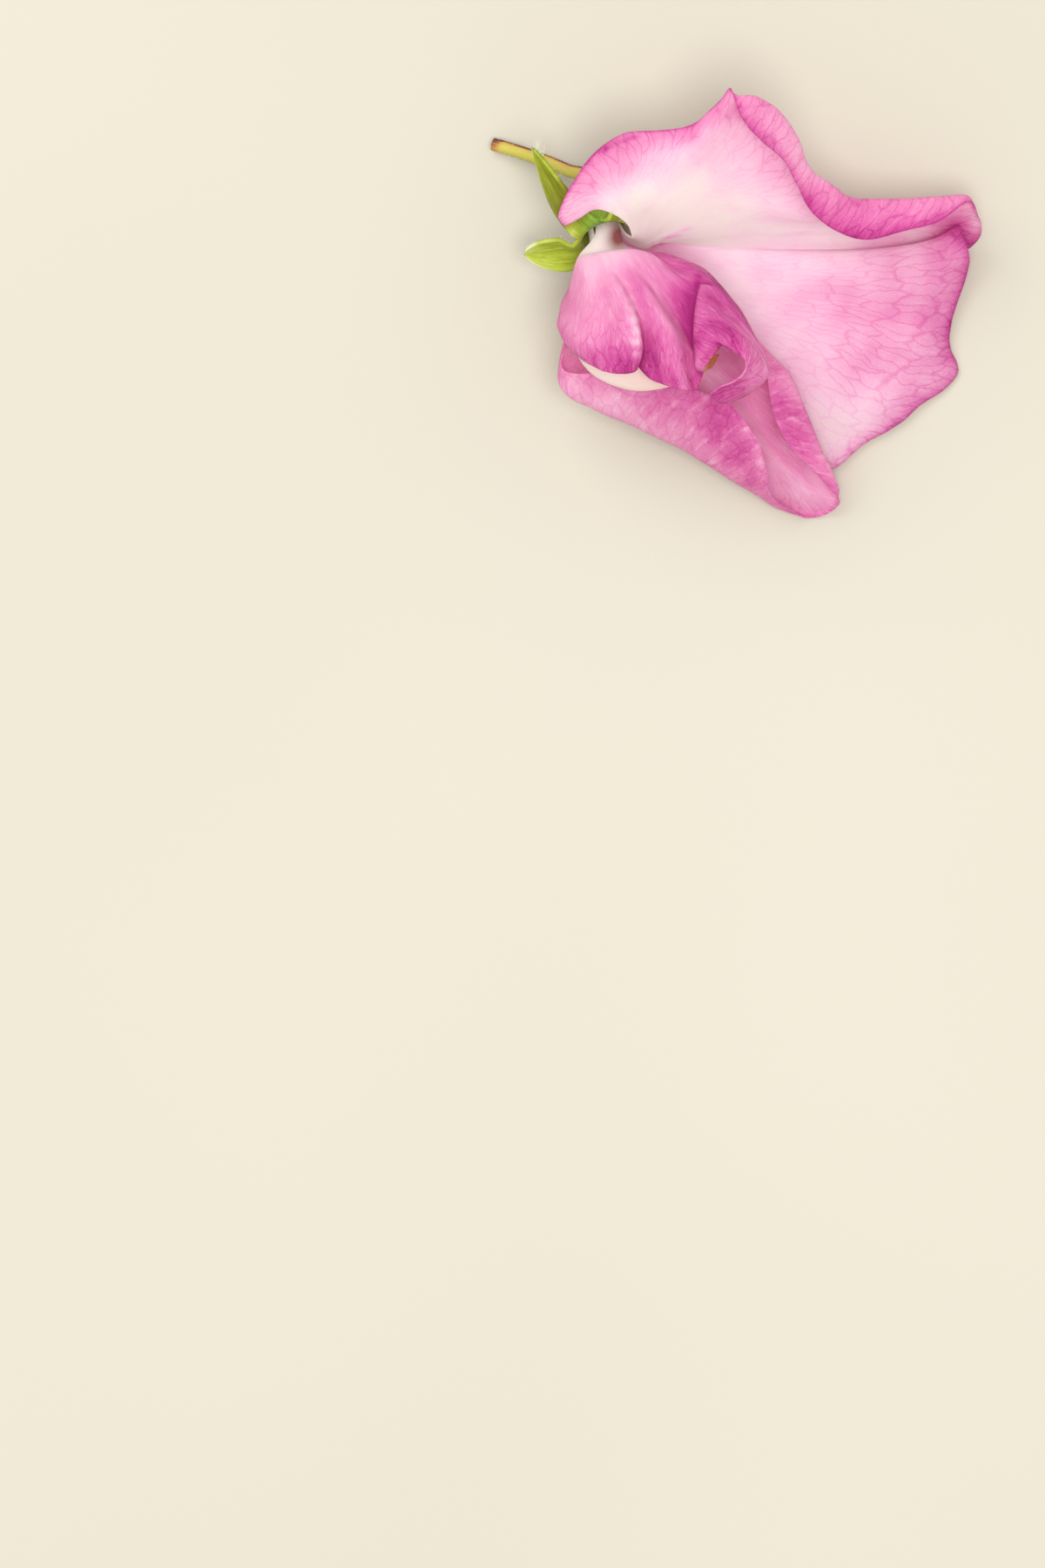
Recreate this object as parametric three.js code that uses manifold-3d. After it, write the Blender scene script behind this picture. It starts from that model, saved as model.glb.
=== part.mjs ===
// Sweet pea flower: one large bloom with its own short stalk, lying on its side as picked.
// Millimetres. The bloom is drawn in a frame that looks straight down on it: +X runs from the calyx
// to the notched tip of the standard, +Y lies across it, and +Z is the height above the surface.
// Every petal is a thin blade lofted through rows of hand-placed points. A row crosses the petal from
// its first rib to its last, and the ribs run out of the calyx to the margin like veins.
import * as THREE from "three";
import Module from "manifold-3d";

// Driving dimensions
const PETAL_THICKNESS = 0.6;
const CALYX_THICKNESS = 0.6;
const CALYX_RADIUS = 3.0; // middle of the tube's wall at its mouth
const CALYX_DEPTH = 7.2; // from the mouth back to the foot of the tube
const SEPAL_COUNT = 5;
const FIRST_SEPAL_ANGLE = 133; // degrees round the tube, from the side of the standard
const STALK_RADIUS = 0.72;
const STALK_NECK_RADIUS = 0.85;
const STALK_TOP_RADIUS = 1.1;
const SEAT_GAP = 0.3; // clearance left where two pieces grow together
const CLAW_BASE_DEPTH = -5.4; // the petals' narrow claws start this far down the tube
const CLAW_EXIT_DEPTH = 0.4;
const CLAW_BASE_SHARE = 0.72; // share of a claw's radius at its base
const FILAMENT_COUNT = 9; // stamens fused into the sheath, with one more free beside them
const FILAMENT_RADIUS = 0.28;
const ANTHER_RADIUS = 0.34;
const SHEATH_THICKNESS = 0.4;
const SHEATH_RADIUS = 0.68;
const FREE_STAMEN_OFFSET = 0.8;
const PISTIL_RADIUS = 0.23;
const COLUMN_BASE_DEPTH = -6.3; // foot of the stamens and the pistil in the tube
const NORMAL_PASSES = 5; // how far the direction of a blade's thickness is evened out

// The drawing's point that becomes the origin, at the middle of the bloom's box on the surface
const ORIGIN = new THREE.Vector3(-1.394, -0.832, 0.071);

// The calyx tube: the middle of its mouth, its axis, the side of the standard and the upper side
const MOUTH = new THREE.Vector3(-15.7, 6.44, 10.34);
const FORWARD = new THREE.Vector3(0.25, -0.78, 0.57).normalize();
const STANDARD_SIDE = new THREE.Vector3(0.968, 0.2014, -0.147).normalize();
const UPPER_SIDE = new THREE.Vector3(0, 0.589, 0.805).normalize();

// Rows of the standard, each point as [rib, x, y, z]. Ribs 0 to 20 make the upper half, whose margin
// rolls forward from rib 8 on, 21 is the midrib's valley, and 22 to 36 make the lower half.
const STANDARD = {
  clawRadius: 2.1,
  clawAngles: [[0, 20], [21, -8], [36, -58]],
  spacing: [[1, 4], [2, 3], [1, 1], [2, 1], [3, 0.5], [3, 0.5], [2, 0.5]],
  rows: [
    [
      [0, -12.9, 6.4, 12.4], [4, -12.4, 6.4, 12.2], [9, -12.0, 6.2, 11.6], [14, -11.7, 5.9, 10.7],
      [19, -11.6, 5.5, 9.7], [21, -11.6, 5.3, 8.9], [22, -11.7, 5.1, 8.5], [24, -11.8, 4.4, 7.8],
      [28, -12.5, 3.5, 6.6], [32, -13.7, 2.8, 5.7], [36, -15.1, 2.7, 5.6],
    ],
    [
      [0, -13.3, 7.7, 13.4], [3, -13.0, 8.6, 13.5], [6, -11.9, 9.1, 13.4], [9, -10.4, 8.9, 12.9],
      [12, -9.2, 8.1, 11.9], [15, -8.8, 7.3, 11.0], [18, -9.0, 6.5, 10.2], [20, -9.4, 6.05, 9.2],
      [21, -9.7, 5.9, 7.9], [22, -9.9, 5.5, 7.4], [24, -10.3, 4.3, 6.8], [27, -11.0, 2.4, 5.7],
      [30, -12.0, 0.8, 4.8], [33, -13.9, 1.2, 4.4], [36, -15.8, 2.6, 4.8],
    ],
    [
      [0, -15.0, 8.9, 13.9], [2, -15.6, 10.9, 14.2], [4, -13.4, 12.0, 14.6], [6, -10.0, 12.0, 14.6],
      [9, -6.4, 12.4, 14.2], [12, -3.5, 10.6, 11.8], [15, -2.2, 8.6, 9.6], [18, -2.5, 6.9, 7.8],
      [20, -3.0, 6.2, 7.0], [21, -3.4, 5.5, 6.2], [22, -3.6, 5.0, 6.4], [24, -4.0, 2.6, 5.8],
      [27, -5.0, -1.0, 4.4], [30, -7.5, -4.0, 3.2], [33, -11.5, -3.2, 3.0], [36, -16.2, 2.4, 4.2],
    ],
    [
      [0, -16.9, 9.35, 14.4], [1, -17.6, 10.4, 14.7], [2, -17.2, 11.9, 14.9], [3, -15.4, 13.6, 15.8],
      [4, -12.6, 15.2, 16.6], [6, -7.6, 16.0, 17.4], [8, -3.2, 18.6, 19.2], [9, -1.4, 18.3, 18.0],
      [10, 0.5, 17.0, 16.2], [12, 3.6, 11.8, 11.6], [14, 6.8, 8.9, 9.2], [16, 11.5, 8.3, 7.4],
      [18, 16.5, 8.3, 5.9], [20, 13.8, 6.5, 4.0], [21, 11.8, 5.2, 3.2], [22, 10.9, 4.85, 4.8],
      [23, 10.9, 3.4, 5.4], [25, 10.5, -0.5, 4.6], [27, 9.5, -4.6, 4.0], [29, 5.5, -9.0, 3.2],
      [31, -1.0, -11.5, 2.2], [33, -9.0, -8.3, 1.8], [35, -15.3, -2.5, 2.0], [36, -16.6, 1.0, 3.2],
    ],
    [
      [0, -18.6, 8.4, 14.5], [1, -19.3, 9.6, 14.9], [2, -18.5, 12.0, 15.3], [3, -16.4, 14.8, 16.3],
      [4, -13.4, 16.8, 17.4], [5, -9.8, 17.2, 17.5], [6, -6.6, 17.8, 18.4], [7, -3.7, 20.2, 20.2],
      [8, -1.9, 21.4, 21.4], [9, 0.4, 21.4, 21.2], [10, 3.0, 20.0, 19.8], [11, 5.2, 17.0, 17.9],
      [12, 6.35, 14.0, 15.8], [13, 8.6, 12.2, 14.0], [14, 11.0, 10.6, 12.6], [15, 14.5, 10.4, 11.3],
      [16, 18.7, 10.5, 10.2], [17, 22.0, 10.8, 9.0], [18, 23.9, 10.8, 7.2], [19, 24.0, 9.0, 4.4],
      [20, 22.6, 6.9, 2.2], [21, 20.4, 5.2, 1.3], [21.5, 20.3, 5.6, 3.1],
      [22, 20.2, 6.3, 4.5], [22.5, 20.4, 5.4, 4.8], [23, 20.6, 3.9, 4.6],
      [24, 20.2, 1.2, 3.9], [25, 19.0, -2.2, 3.1], [26, 18.8, -5.6, 2.9], [27, 17.6, -8.2, 2.4],
      [28, 14.2, -11.6, 2.4], [29, 10.2, -13.6, 2.2], [30, 6.0, -15.2, 1.8], [31, 1.2, -15.8, 1.4],
      [32, -5.2, -12.8, 1.1], [33, -12.0, -8.6, 1.0], [34, -16.0, -4.4, 1.2], [35, -16.9, -1.0, 1.6],
      [36, -16.9, 0.6, 2.6],
    ],
    [
      [0, -20.2, 7.5, 14.6], [1, -20.9, 8.8, 15.0], [2, -19.5, 11.9, 15.6], [3, -17.0, 15.4, 16.6],
      [4, -13.8, 17.6, 17.8], [5, -10.0, 17.9, 17.6], [6, -6.2, 18.6, 18.6], [7, -3.2, 21.2, 20.6],
      [8, -2.0, 22.4, 22.0], [9, -1.0, 19.2, 21.9], [10, 1.2, 16.7, 20.8], [11, 3.7, 14.6, 18.8],
      [12, 5.3, 11.7, 16.6], [13, 7.0, 8.8, 14.8], [14, 9.5, 7.0, 13.6], [15, 12.8, 6.1, 12.4],
      [16, 16.6, 7.0, 11.4], [17, 20.6, 8.1, 10.4], [18, 24.0, 10.3, 8.4], [19, 25.2, 8.7, 4.6],
      [20, 25.3, 6.6, 1.7], [20.5, 24.4, 5.5, 0.7], [21, 23.3, 5.1, 0.6], [21.5, 22.8, 6.1, 2.5],
      [22, 22.95, 7.9, 4.9], [22.5, 23.4, 6.7, 5.3], [23, 24.05, 4.9, 4.7],
      [24, 23.7, 1.9, 2.7], [25, 22.3, -2.4, 1.5], [26, 22.0, -5.6, 0.8], [26.6, 22.9, -7.3, 0.5],
      [27, 22.8, -8.5, 0.4], [27.5, 21.1, -10.3, 0.6], [28, 18.8, -11.8, 1.0], [28.5, 16.9, -13.6, 1.1],
      [29, 14.9, -14.8, 0.9], [29.5, 12.4, -16.2, 0.9], [30, 9.6, -18.6, 0.8], [31, 3.0, -18.6, 0.6],
      [32, -5.4, -14.8, 0.5], [33, -12.8, -10.3, 0.4], [34, -17.4, -5.6, 0.6], [35, -18.2, -1.6, 1.0],
      [36, -17.4, 0.4, 2.0],
    ],
  ],
};

// The upper wing: ribs 0 to 8 make its left lobe, 9 to 13 the middle lobe, 14 and 15 the deep
// valley, 16 to 24 the curled flap with its finger, and 25 to 31 the margin that turns back.
const WING_UPPER = {
  clawRadius: 1.95,
  clawAngles: [[0, 129], [31, 40]],
  spacing: [[1, 4], [1, 3], [1, 1], [1, 1], [3, 1], [2, 0.5], [2, 0.5], [2, 0.5]],
  rows: [
    [
      [0, -18.5, 4.5, 12.7], [5, -18.0, 4.4, 13.4], [10, -17.3, 4.3, 13.8], [15, -16.5, 4.4, 13.9],
      [22, -15.1, 4.9, 13.9], [31, -14.0, 6.1, 12.4],
    ],
    [
      [0, -18.9, 3.6, 12.9], [3, -18.6, 3.9, 14.0], [6, -17.4, 4.3, 14.8], [9, -16.0, 4.6, 15.2],
      [12, -14.6, 4.8, 15.4], [15, -13.3, 4.9, 15.5], [18, -12.1, 4.8, 15.6], [22, -10.8, 4.4, 15.6],
      [25, -10.2, 4.0, 15.3], [28, -11.2, 4.1, 14.2], [29, -12.3, 4.5, 13.5], [30, -13.2, 5.1, 12.8],
      [31, -13.8, 5.7, 12.3],
    ],
    [
      [0, -19.4, 1.9, 12.9], [2, -19.2, 1.6, 14.6], [4, -18.0, 2.2, 16.0], [6, -16.8, 2.7, 16.5],
      [8, -15.7, 3.0, 16.7], [10, -14.7, 3.2, 16.7], [13, -13.0, 3.2, 17.0], [16, -11.3, 3.0, 17.2],
      [20, -9.6, 2.7, 17.2], [24, -8.2, 2.3, 16.9], [28, -8.6, 3.0, 15.6], [29, -10.3, 3.9, 14.4],
      [30, -12.2, 4.85, 13.1], [31, -13.5, 5.4, 12.3],
    ],
    [
      [0, -19.7, 0.9, 12.6], [2, -19.6, -0.9, 15.4], [4, -18.2, -1.9, 17.8], [6, -15.8, -2.2, 19.2],
      [8, -13.3, -1.2, 20.0], [9, -12.7, -1.2, 18.9], [10, -12.1, -1.6, 19.2], [12, -9.6, -2.6, 20.2],
      [13, -8.5, -3.8, 20.2], [14, -7.2, -5.4, 19.4], [15, -6.4, -6.2, 18.9], [17, -6.2, -4.9, 18.7],
      [20, -6.1, -1.6, 18.3], [24, -5.75, 0.9, 17.4], [28, -5.9, 2.0, 16.7], [29, -8.0, 3.4, 15.3],
      [30, -11.0, 4.6, 13.6], [31, -13.1, 5.15, 12.3],
    ],
    [
      [0, -20.6, -1.0, 13.2], [2, -20.5, -3.2, 15.9], [4, -18.8, -4.6, 18.6], [6, -15.8, -5.2, 20.2],
      [8, -12.3, -4.0, 21.2], [9, -12.0, -3.8, 19.4], [10, -11.3, -4.6, 19.6], [12, -9.0, -6.4, 20.8],
      [13, -7.7, -7.4, 20.6], [14, -6.7, -8.2, 19.4], [15, -6.1, -7.9, 19.1], [16, -5.9, -7.0, 19.9],
      [17, -6.0, -5.3, 20.3], [20, -5.7, -1.9, 19.9], [24, -5.1, 0.7, 18.4], [28, -4.4, 1.5, 17.1],
      [29, -6.4, 3.1, 15.4], [30, -10.0, 4.5, 13.5], [31, -12.8, 5.0, 12.2],
    ],
    [
      [0, -20.7, -1.8, 13.4], [1, -20.9, -3.0, 14.4], [2, -20.5, -4.4, 15.8], [3, -19.7, -5.5, 17.1],
      [4, -18.4, -6.3, 18.6], [6, -15.3, -7.2, 20.1], [8, -11.9, -6.2, 21.0], [9, -11.9, -5.8, 19.4],
      [10, -11.0, -7.2, 19.5], [12, -8.6, -8.8, 20.4], [13, -7.2, -9.2, 20.2], [14, -6.4, -9.4, 18.8],
      [15, -5.7, -8.5, 18.9], [16, -5.8, -7.8, 20.4], [17, -5.3, -6.2, 20.8], [18, -4.6, -4.9, 21.0],
      [19, -3.0, -4.3, 20.6], [20, -1.0, -4.6, 20.0], [21, 0.5, -6.2, 19.8], [22, 1.3, -7.6, 19.6],
      [23, 1.8, -8.4, 19.2], [24, 2.0, -8.5, 18.7], [25, 1.9, -7.9, 18.2], [26, 1.4, -6.5, 17.5],
      [27, 0.4, -4.4, 16.9], [28, -1.7, -0.9, 16.0], [29, -5.0, 2.7, 14.7], [30, -9.2, 4.5, 13.1],
      [31, -12.2, 4.8, 11.9],
    ],
    [
      [0, -20.2, -1.2, 12.2], [1, -20.4, -2.6, 13.0], [2, -20.2, -4.2, 14.6], [3, -19.4, -5.9, 16.4],
      [4, -18.1, -7.2, 18.2], [5, -16.6, -8.1, 19.4], [6, -14.8, -8.6, 20.0], [7, -13.2, -8.6, 20.4],
      [8, -12.3, -8.2, 20.4], [9, -12.6, -7.4, 19.0], [10, -11.0, -9.1, 19.4], [11, -9.5, -9.8, 19.9],
      [12, -8.1, -10.2, 20.0], [13, -6.7, -10.4, 19.6], [14, -6.0, -10.4, 18.6], [15, -5.2, -8.9, 18.7],
      [16, -5.0, -8.1, 20.4], [17, -4.0, -6.6, 20.6], [18, -3.1, -5.6, 20.6], [19, -1.8, -6.2, 21.2],
      [20, -0.5, -7.2, 21.9], [21, -0.9, -8.8, 22.2], [22, -2.5, -9.9, 22.2], [23, -4.3, -10.9, 21.4],
      [24, -2.9, -11.9, 19.9], [25, 0.2, -10.4, 17.8], [26, 1.3, -8.0, 16.2], [27, 0.2, -5.0, 14.8],
      [28, -2.0, -1.2, 14.0], [29, -5.0, 2.3, 12.9], [30, -8.8, 4.2, 11.9], [31, -11.7, 4.6, 11.5],
    ],
  ],
};

// The lower wing: ribs 0 to 8 end in the margin that rolls in on the right, 9 to 11 in the tip, and
// 12 to 22 in the broad flap that folds up along the lower left.
const WING_LOWER = {
  clawRadius: 1.95,
  clawAngles: [[0, -72], [22, -108]],
  spacing: [[1, 4], [1, 3], [2, 1], [3, 1], [2, 0.5], [3, 0.5]],
  rows: [
    [[0, -14.5, 4.0, 8.6], [11, -15.4, 3.8, 8.5], [22, -16.8, 4.0, 8.4]],
    [
      [0, -13.2, 3.2, 8.1], [4, -10.5, 0.4, 7.4], [8, -8.8, -4.2, 6.8], [12, -9.4, -6.4, 6.6],
      [16, -11.8, -6.2, 7.0], [20, -15.2, -3.2, 7.8], [22, -17.0, 2.4, 8.2],
    ],
    [
      [0, -10.8, 2.4, 7.6], [1, -7.4, 0.8, 6.8], [3, -1.0, -5.0, 5.6], [5, 2.6, -11.6, 4.8],
      [7, 5.4, -17.6, 3.5], [9, 7.0, -20.6, 2.4], [11, 4.6, -21.2, 1.9], [13, 0.6, -19.0, 2.8],
      [15, -3.4, -15.6, 4.1], [17, -8.4, -12.6, 5.4], [19, -14.6, -9.8, 6.8], [20, -17.4, -7.8, 7.4],
      [22, -17.8, 1.5, 8.0],
    ],
    [
      [0, -9.6, 2.2, 7.7], [1, -5.4, 0.2, 7.1], [2, -1.2, -2.8, 6.8], [3, 2.6, -6.7, 7.4],
      [4, 4.6, -9.0, 7.6], [5, 6.2, -12.8, 7.0], [6, 7.8, -16.6, 6.2], [7, 9.0, -19.2, 5.0],
      [8, 9.7, -21.0, 3.8], [9, 9.4, -22.2, 2.6], [10, 8.0, -23.2, 0.8], [11, 5.8, -23.4, 0.5],
      [12, 3.2, -22.9, 1.2], [13, 0.7, -21.4, 2.7], [14, -1.6, -20.1, 3.9], [15, -4.5, -18.3, 5.2],
      [16, -7.3, -16.6, 6.4], [17, -10.2, -15.3, 7.5], [18, -13.3, -13.8, 8.4], [19, -16.9, -12.3, 9.2],
      [20, -20.2, -10.4, 9.6], [21, -20.6, -7.0, 9.0], [22, -18.4, 0.6, 8.2],
    ],
    [
      [0, -8.4, 1.8, 8.3], [1, -5.0, -0.4, 8.1], [2, -2.0, -3.5, 8.6], [3, 1.4, -7.2, 9.2],
      [4, 2.1, -10.2, 9.4], [5, 2.8, -13.4, 9.2], [6, 4.5, -16.5, 8.4], [7, 7.0, -19.0, 6.8],
      [8, 8.9, -21.1, 4.8], [9, 10.0, -22.4, 3.0], [10, 8.6, -23.7, 0.9], [11, 6.6, -24.1, 0.6],
      [12, 4.6, -23.3, 3.0], [13, 2.4, -21.9, 6.0], [14, 1.9, -19.0, 8.8], [15, 0.6, -15.4, 10.9],
      [16, -2.0, -12.0, 12.3], [17, -5.8, -10.4, 13.2], [18, -10.0, -9.8, 13.4], [19, -15.5, -8.6, 12.8],
      [20, -20.2, -8.2, 11.4], [21, -20.2, -5.2, 10.0], [22, -18.8, -0.2, 8.6],
    ],
  ],
};

// Sections of the keel's pouch past the calyx: its outer edge, its inner edge, half its width, and
// how far round from the outer edge its two sides reach, in degrees.
const KEEL_SECTIONS = [
  [[-18.0, 4.4, 10.3], [-14.6, 4.9, 11.6], 1.35, 86],
  [[-18.6, 2.0, 10.7], [-14.4, 2.5, 12.8], 1.9, 140],
  [[-19.5, -3.0, 12.5], [-12.2, -1.5, 14.8], 2.1, 156],
  [[-17.8, -7.7, 14.4], [-9.6, -4.0, 16.0], 2.3, 158],
  [[-13.2, -9.95, 15.4], [-7.2, -5.2, 16.2], 2.0, 156],
  [[-8.3, -9.5, 15.9], [-5.2, -6.0, 16.4], 1.35, 152],
  [[-4.5, -7.8, 16.5], [-3.2, -6.0, 16.9], 0.8, 140],
];
const KEEL_CLAW_RADIUS = 1.75;
const KEEL_CLAW_REACH = [34, 38]; // degrees either side of the outer edge, at the base and the mouth

// The middle line of the stamens and the pistil past the calyx, inside the keel
const COLUMN_PATH = [
  [-15.95, 5.0, 11.0],
  [-16.4, 2.3, 11.9],
  [-15.6, -2.4, 13.8],
  [-13.6, -5.4, 14.9],
  [-11.6, -6.9, 15.4],
];
const STYLE_TIP = [[-9.0, -7.9, 15.8], [-6.4, -7.9, 16.2]];

// The stalk's middle line, from its cut end to the foot of the calyx
const STALK_PATH = [[-28.0, 16.8, 0.75], [-25.0, 15.9, 1.7], [-22.0, 14.8, 2.9], [-19.6, 13.8, 4.1]];

// One sepal each: its length, the degrees from the tube's axis at its base and once bent back, the share
// of its length that bends, its twist in degrees, and how its width tapers and swells.
const SEPALS = [
  { length: 11.2, start: 117, reflex: 160, bendShare: 0.6, twist: 0, taper: 0.85, swell: 0.5 },
  { length: 7.0, start: 92, reflex: 118, bendShare: 0.3, twist: 34, taper: 0.7, swell: 1.5 },
  { length: 7.4, start: 80, reflex: 172, bendShare: 0.35, twist: 0, taper: 0.85, swell: 0.9 },
  { length: 6.0, start: 95, reflex: 175, bendShare: 0.33, twist: 0, taper: 0.85, swell: 0.6 },
  { length: 6.0, start: 95, reflex: 175, bendShare: 0.33, twist: 0, taper: 0.85, swell: 0.6 },
];

const COLORS = {
  stalk: 0x9a9a3c,
  calyx: 0x9fb347,
  standard: 0xeeb3d8,
  wing: 0xdf74b6,
  keel: 0xf3e1c6,
  stamens: 0xf1ecc0,
  pistil: 0xbfd08a,
};

const vector = (p) => new THREE.Vector3(p[0], p[1], p[2]);

// A point of the calyx tube, by its angle from the standard's side, its radius and its depth
function tubePoint(angle, radius, depth) {
  const turn = THREE.MathUtils.degToRad(angle);
  return MOUTH.clone()
    .addScaledVector(FORWARD, depth)
    .addScaledVector(STANDARD_SIDE, radius * Math.cos(turn))
    .addScaledVector(UPPER_SIDE, radius * Math.sin(turn));
}

// Values of a smooth curve that passes through `values` at `knots`, read at the position `at`
function smoothAt(knots, values, at) {
  const last = knots.length - 1;
  let i = 0;
  while (i < last - 1 && at >= knots[i + 1]) i += 1;
  const span = knots[i + 1] - knots[i];
  const u = (at - knots[i]) / span;
  const slope = (k, axis) => {
    if (k === 0) return (values[1][axis] - values[0][axis]) / (knots[1] - knots[0]);
    if (k === last) {
      return (values[last][axis] - values[last - 1][axis]) / (knots[last] - knots[last - 1]);
    }
    const before = knots[k] - knots[k - 1];
    const after = knots[k + 1] - knots[k];
    const rise = (values[k][axis] - values[k - 1][axis]) / before;
    const run = (values[k + 1][axis] - values[k][axis]) / after;
    return (rise * after + run * before) / (before + after);
  };
  return values[0].map((_, axis) => {
    const a = values[i][axis];
    const b = values[i + 1][axis];
    const leave = slope(i, axis) * span;
    const arrive = slope(i + 1, axis) * span;
    const cubic = 2 * a - 2 * b + leave + arrive;
    const square = -3 * a + 3 * b - 2 * leave - arrive;
    return ((cubic * u + square) * u + leave) * u + a;
  });
}

// A row given as [rib, values...] read at any rib
function rowAt(row, rib) {
  return smoothAt(row.map((p) => p[0]), row.map((p) => p.slice(1)), rib);
}

// Points along one rib, with steps[j] intervals between its points j and j + 1
function alongRib(points, steps) {
  const knots = [0];
  for (let j = 1; j < points.length; j += 1) {
    const gap = vector(points[j]).distanceTo(vector(points[j - 1]));
    knots.push(knots[j - 1] + Math.sqrt(gap) + 1e-6);
  }
  const out = [];
  steps.forEach((count, j) => {
    for (let k = 0; k < count; k += 1) {
      out.push(smoothAt(knots, points, knots[j] + ((knots[j + 1] - knots[j]) * k) / count));
    }
  });
  out.push(points[points.length - 1]);
  return out.map(vector);
}

// Triangles between two rows of points, kept in step by the ribs the points lie on
function strip(lower, upper) {
  const faces = [];
  let i = 0;
  let j = 0;
  const ribAfter = (row, k) => (k + 1 < row.length ? row[k + 1].rib : Infinity);
  while (i + 1 < lower.length || j + 1 < upper.length) {
    if (ribAfter(lower, i) <= ribAfter(upper, j)) {
      faces.push([lower[i].index, lower[i + 1].index, upper[j].index]);
      i += 1;
    } else {
      faces.push([lower[i].index, upper[j + 1].index, upper[j].index]);
      j += 1;
    }
  }
  return faces;
}

// A petal as an open sheet. Its spacing says, for the blade below each row from the claw's exit on,
// how many rows of triangles it takes and how many ribs apart their points lie.
function petalSheet(petal) {
  const firstRow = petal.rows[0];
  const lastRib = firstRow[firstRow.length - 1][0];
  const counts = petal.spacing.map(([count]) => count);
  const gaps = petal.spacing.flatMap(([count, gap]) => new Array(count).fill(gap));
  gaps.push(gaps[gaps.length - 1]);
  const points = [];
  const faces = [];
  let below = null;
  gaps.forEach((gap, level) => {
    const row = [];
    for (let step = 0; step < lastRib + gap; step += gap) {
      const rib = Math.min(step, lastRib);
      const [angle] = rowAt(petal.clawAngles, rib);
      const base = tubePoint(angle, petal.clawRadius * CLAW_BASE_SHARE, CLAW_BASE_DEPTH).toArray();
      const exit = tubePoint(angle, petal.clawRadius, CLAW_EXIT_DEPTH).toArray();
      const blade = petal.rows.map((handPlaced) => rowAt(handPlaced, rib));
      row.push({ rib, index: points.length });
      points.push(alongRib([base, exit, ...blade], counts)[level]);
    }
    if (below) faces.push(...strip(below, row));
    below = row;
  });
  return { points, faces };
}

// The triangles between columns of points, as an open sheet
function sheetOf(columns) {
  const height = columns[0].length;
  const points = columns.flat();
  const faces = [];
  for (let i = 0; i < columns.length - 1; i += 1) {
    for (let j = 0; j < height - 1; j += 1) {
      const a = i * height + j;
      const b = a + height;
      faces.push([a, b, b + 1], [a, b + 1, a + 1]);
    }
  }
  return { points, faces };
}

function geometryOf(points, faces) {
  const geometry = new THREE.BufferGeometry();
  const position = new Float32Array(points.flatMap((p) => p.toArray()));
  geometry.setAttribute("position", new THREE.BufferAttribute(position, 3));
  geometry.setIndex(faces.flat());
  geometry.computeVertexNormals();
  return geometry;
}

// The direction the blade is thickened along at each point, evened out so that tight folds don't cross
function smoothNormals(points, faces) {
  const sheet = geometryOf(points, faces).getAttribute("normal");
  let normals = points.map((_, i) => new THREE.Vector3().fromBufferAttribute(sheet, i));
  for (let pass = 0; pass < NORMAL_PASSES; pass += 1) {
    const next = normals.map((n) => n.clone());
    for (const [a, b, c] of faces) {
      next[a].add(normals[b]).add(normals[c]);
      next[b].add(normals[c]).add(normals[a]);
      next[c].add(normals[a]).add(normals[b]);
    }
    normals = next.map((n) => n.normalize());
  }
  return normals;
}

// A closed blade of even thickness round an open sheet, with both faces split into like triangles
function thicken({ points, faces }, thickness) {
  const normals = smoothNormals(points, faces);
  const count = points.length;
  const solid = [0.5, -0.5].flatMap((side) =>
    points.map((p, i) => p.clone().addScaledVector(normals[i], side * thickness)));
  const edges = new Map();
  for (const [a, b, c] of faces) {
    for (const [from, to] of [[a, b], [b, c], [c, a]]) {
      if (!edges.delete(`${to},${from}`)) edges.set(`${from},${to}`, [from, to]);
    }
  }
  const walls = [...edges.values()].flatMap(([from, to]) => [
    [from, from + count, to + count],
    [from, to + count, to],
  ]);
  const backs = faces.map(([a, b, c]) => [a + count, c + count, b + count]);
  return geometryOf(solid, [...faces, ...backs, ...walls]);
}

// A closed rod round a smooth line, with a radius for each of its points
function rod(path, radii, sides, stepsPerPoint) {
  const line = alongRib(path, new Array(path.length - 1).fill(stepsPerPoint));
  const knots = path.map((_, i) => i * stepsPerPoint);
  const rings = line.map((centre, i) => {
    const ahead = line[Math.min(i + 1, line.length - 1)];
    const behind = line[Math.max(i - 1, 0)];
    const along = ahead.clone().sub(behind).normalize();
    const side = new THREE.Vector3().crossVectors(UPPER_SIDE, along).normalize();
    const rise = new THREE.Vector3().crossVectors(along, side);
    const [radius] = smoothAt(knots, radii.map((r) => [r]), i);
    return Array.from({ length: sides }, (_, k) => {
      const turn = (2 * Math.PI * k) / sides;
      return centre.clone()
        .addScaledVector(side, radius * Math.cos(turn))
        .addScaledVector(rise, radius * Math.sin(turn));
    });
  });
  const points = [...rings.flat(), line[0], line[line.length - 1]];
  const start = points.length - 2;
  const faces = [];
  for (let i = 0; i < rings.length - 1; i += 1) {
    for (let k = 0; k < sides; k += 1) {
      const a = i * sides + k;
      const b = i * sides + ((k + 1) % sides);
      faces.push([a, b, b + sides], [a, b + sides, a + sides]);
    }
  }
  const top = (rings.length - 1) * sides;
  for (let k = 0; k < sides; k += 1) {
    const next = (k + 1) % sides;
    faces.push([start, next, k], [start + 1, top + k, top + next]);
  }
  return geometryOf(points, faces);
}

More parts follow.
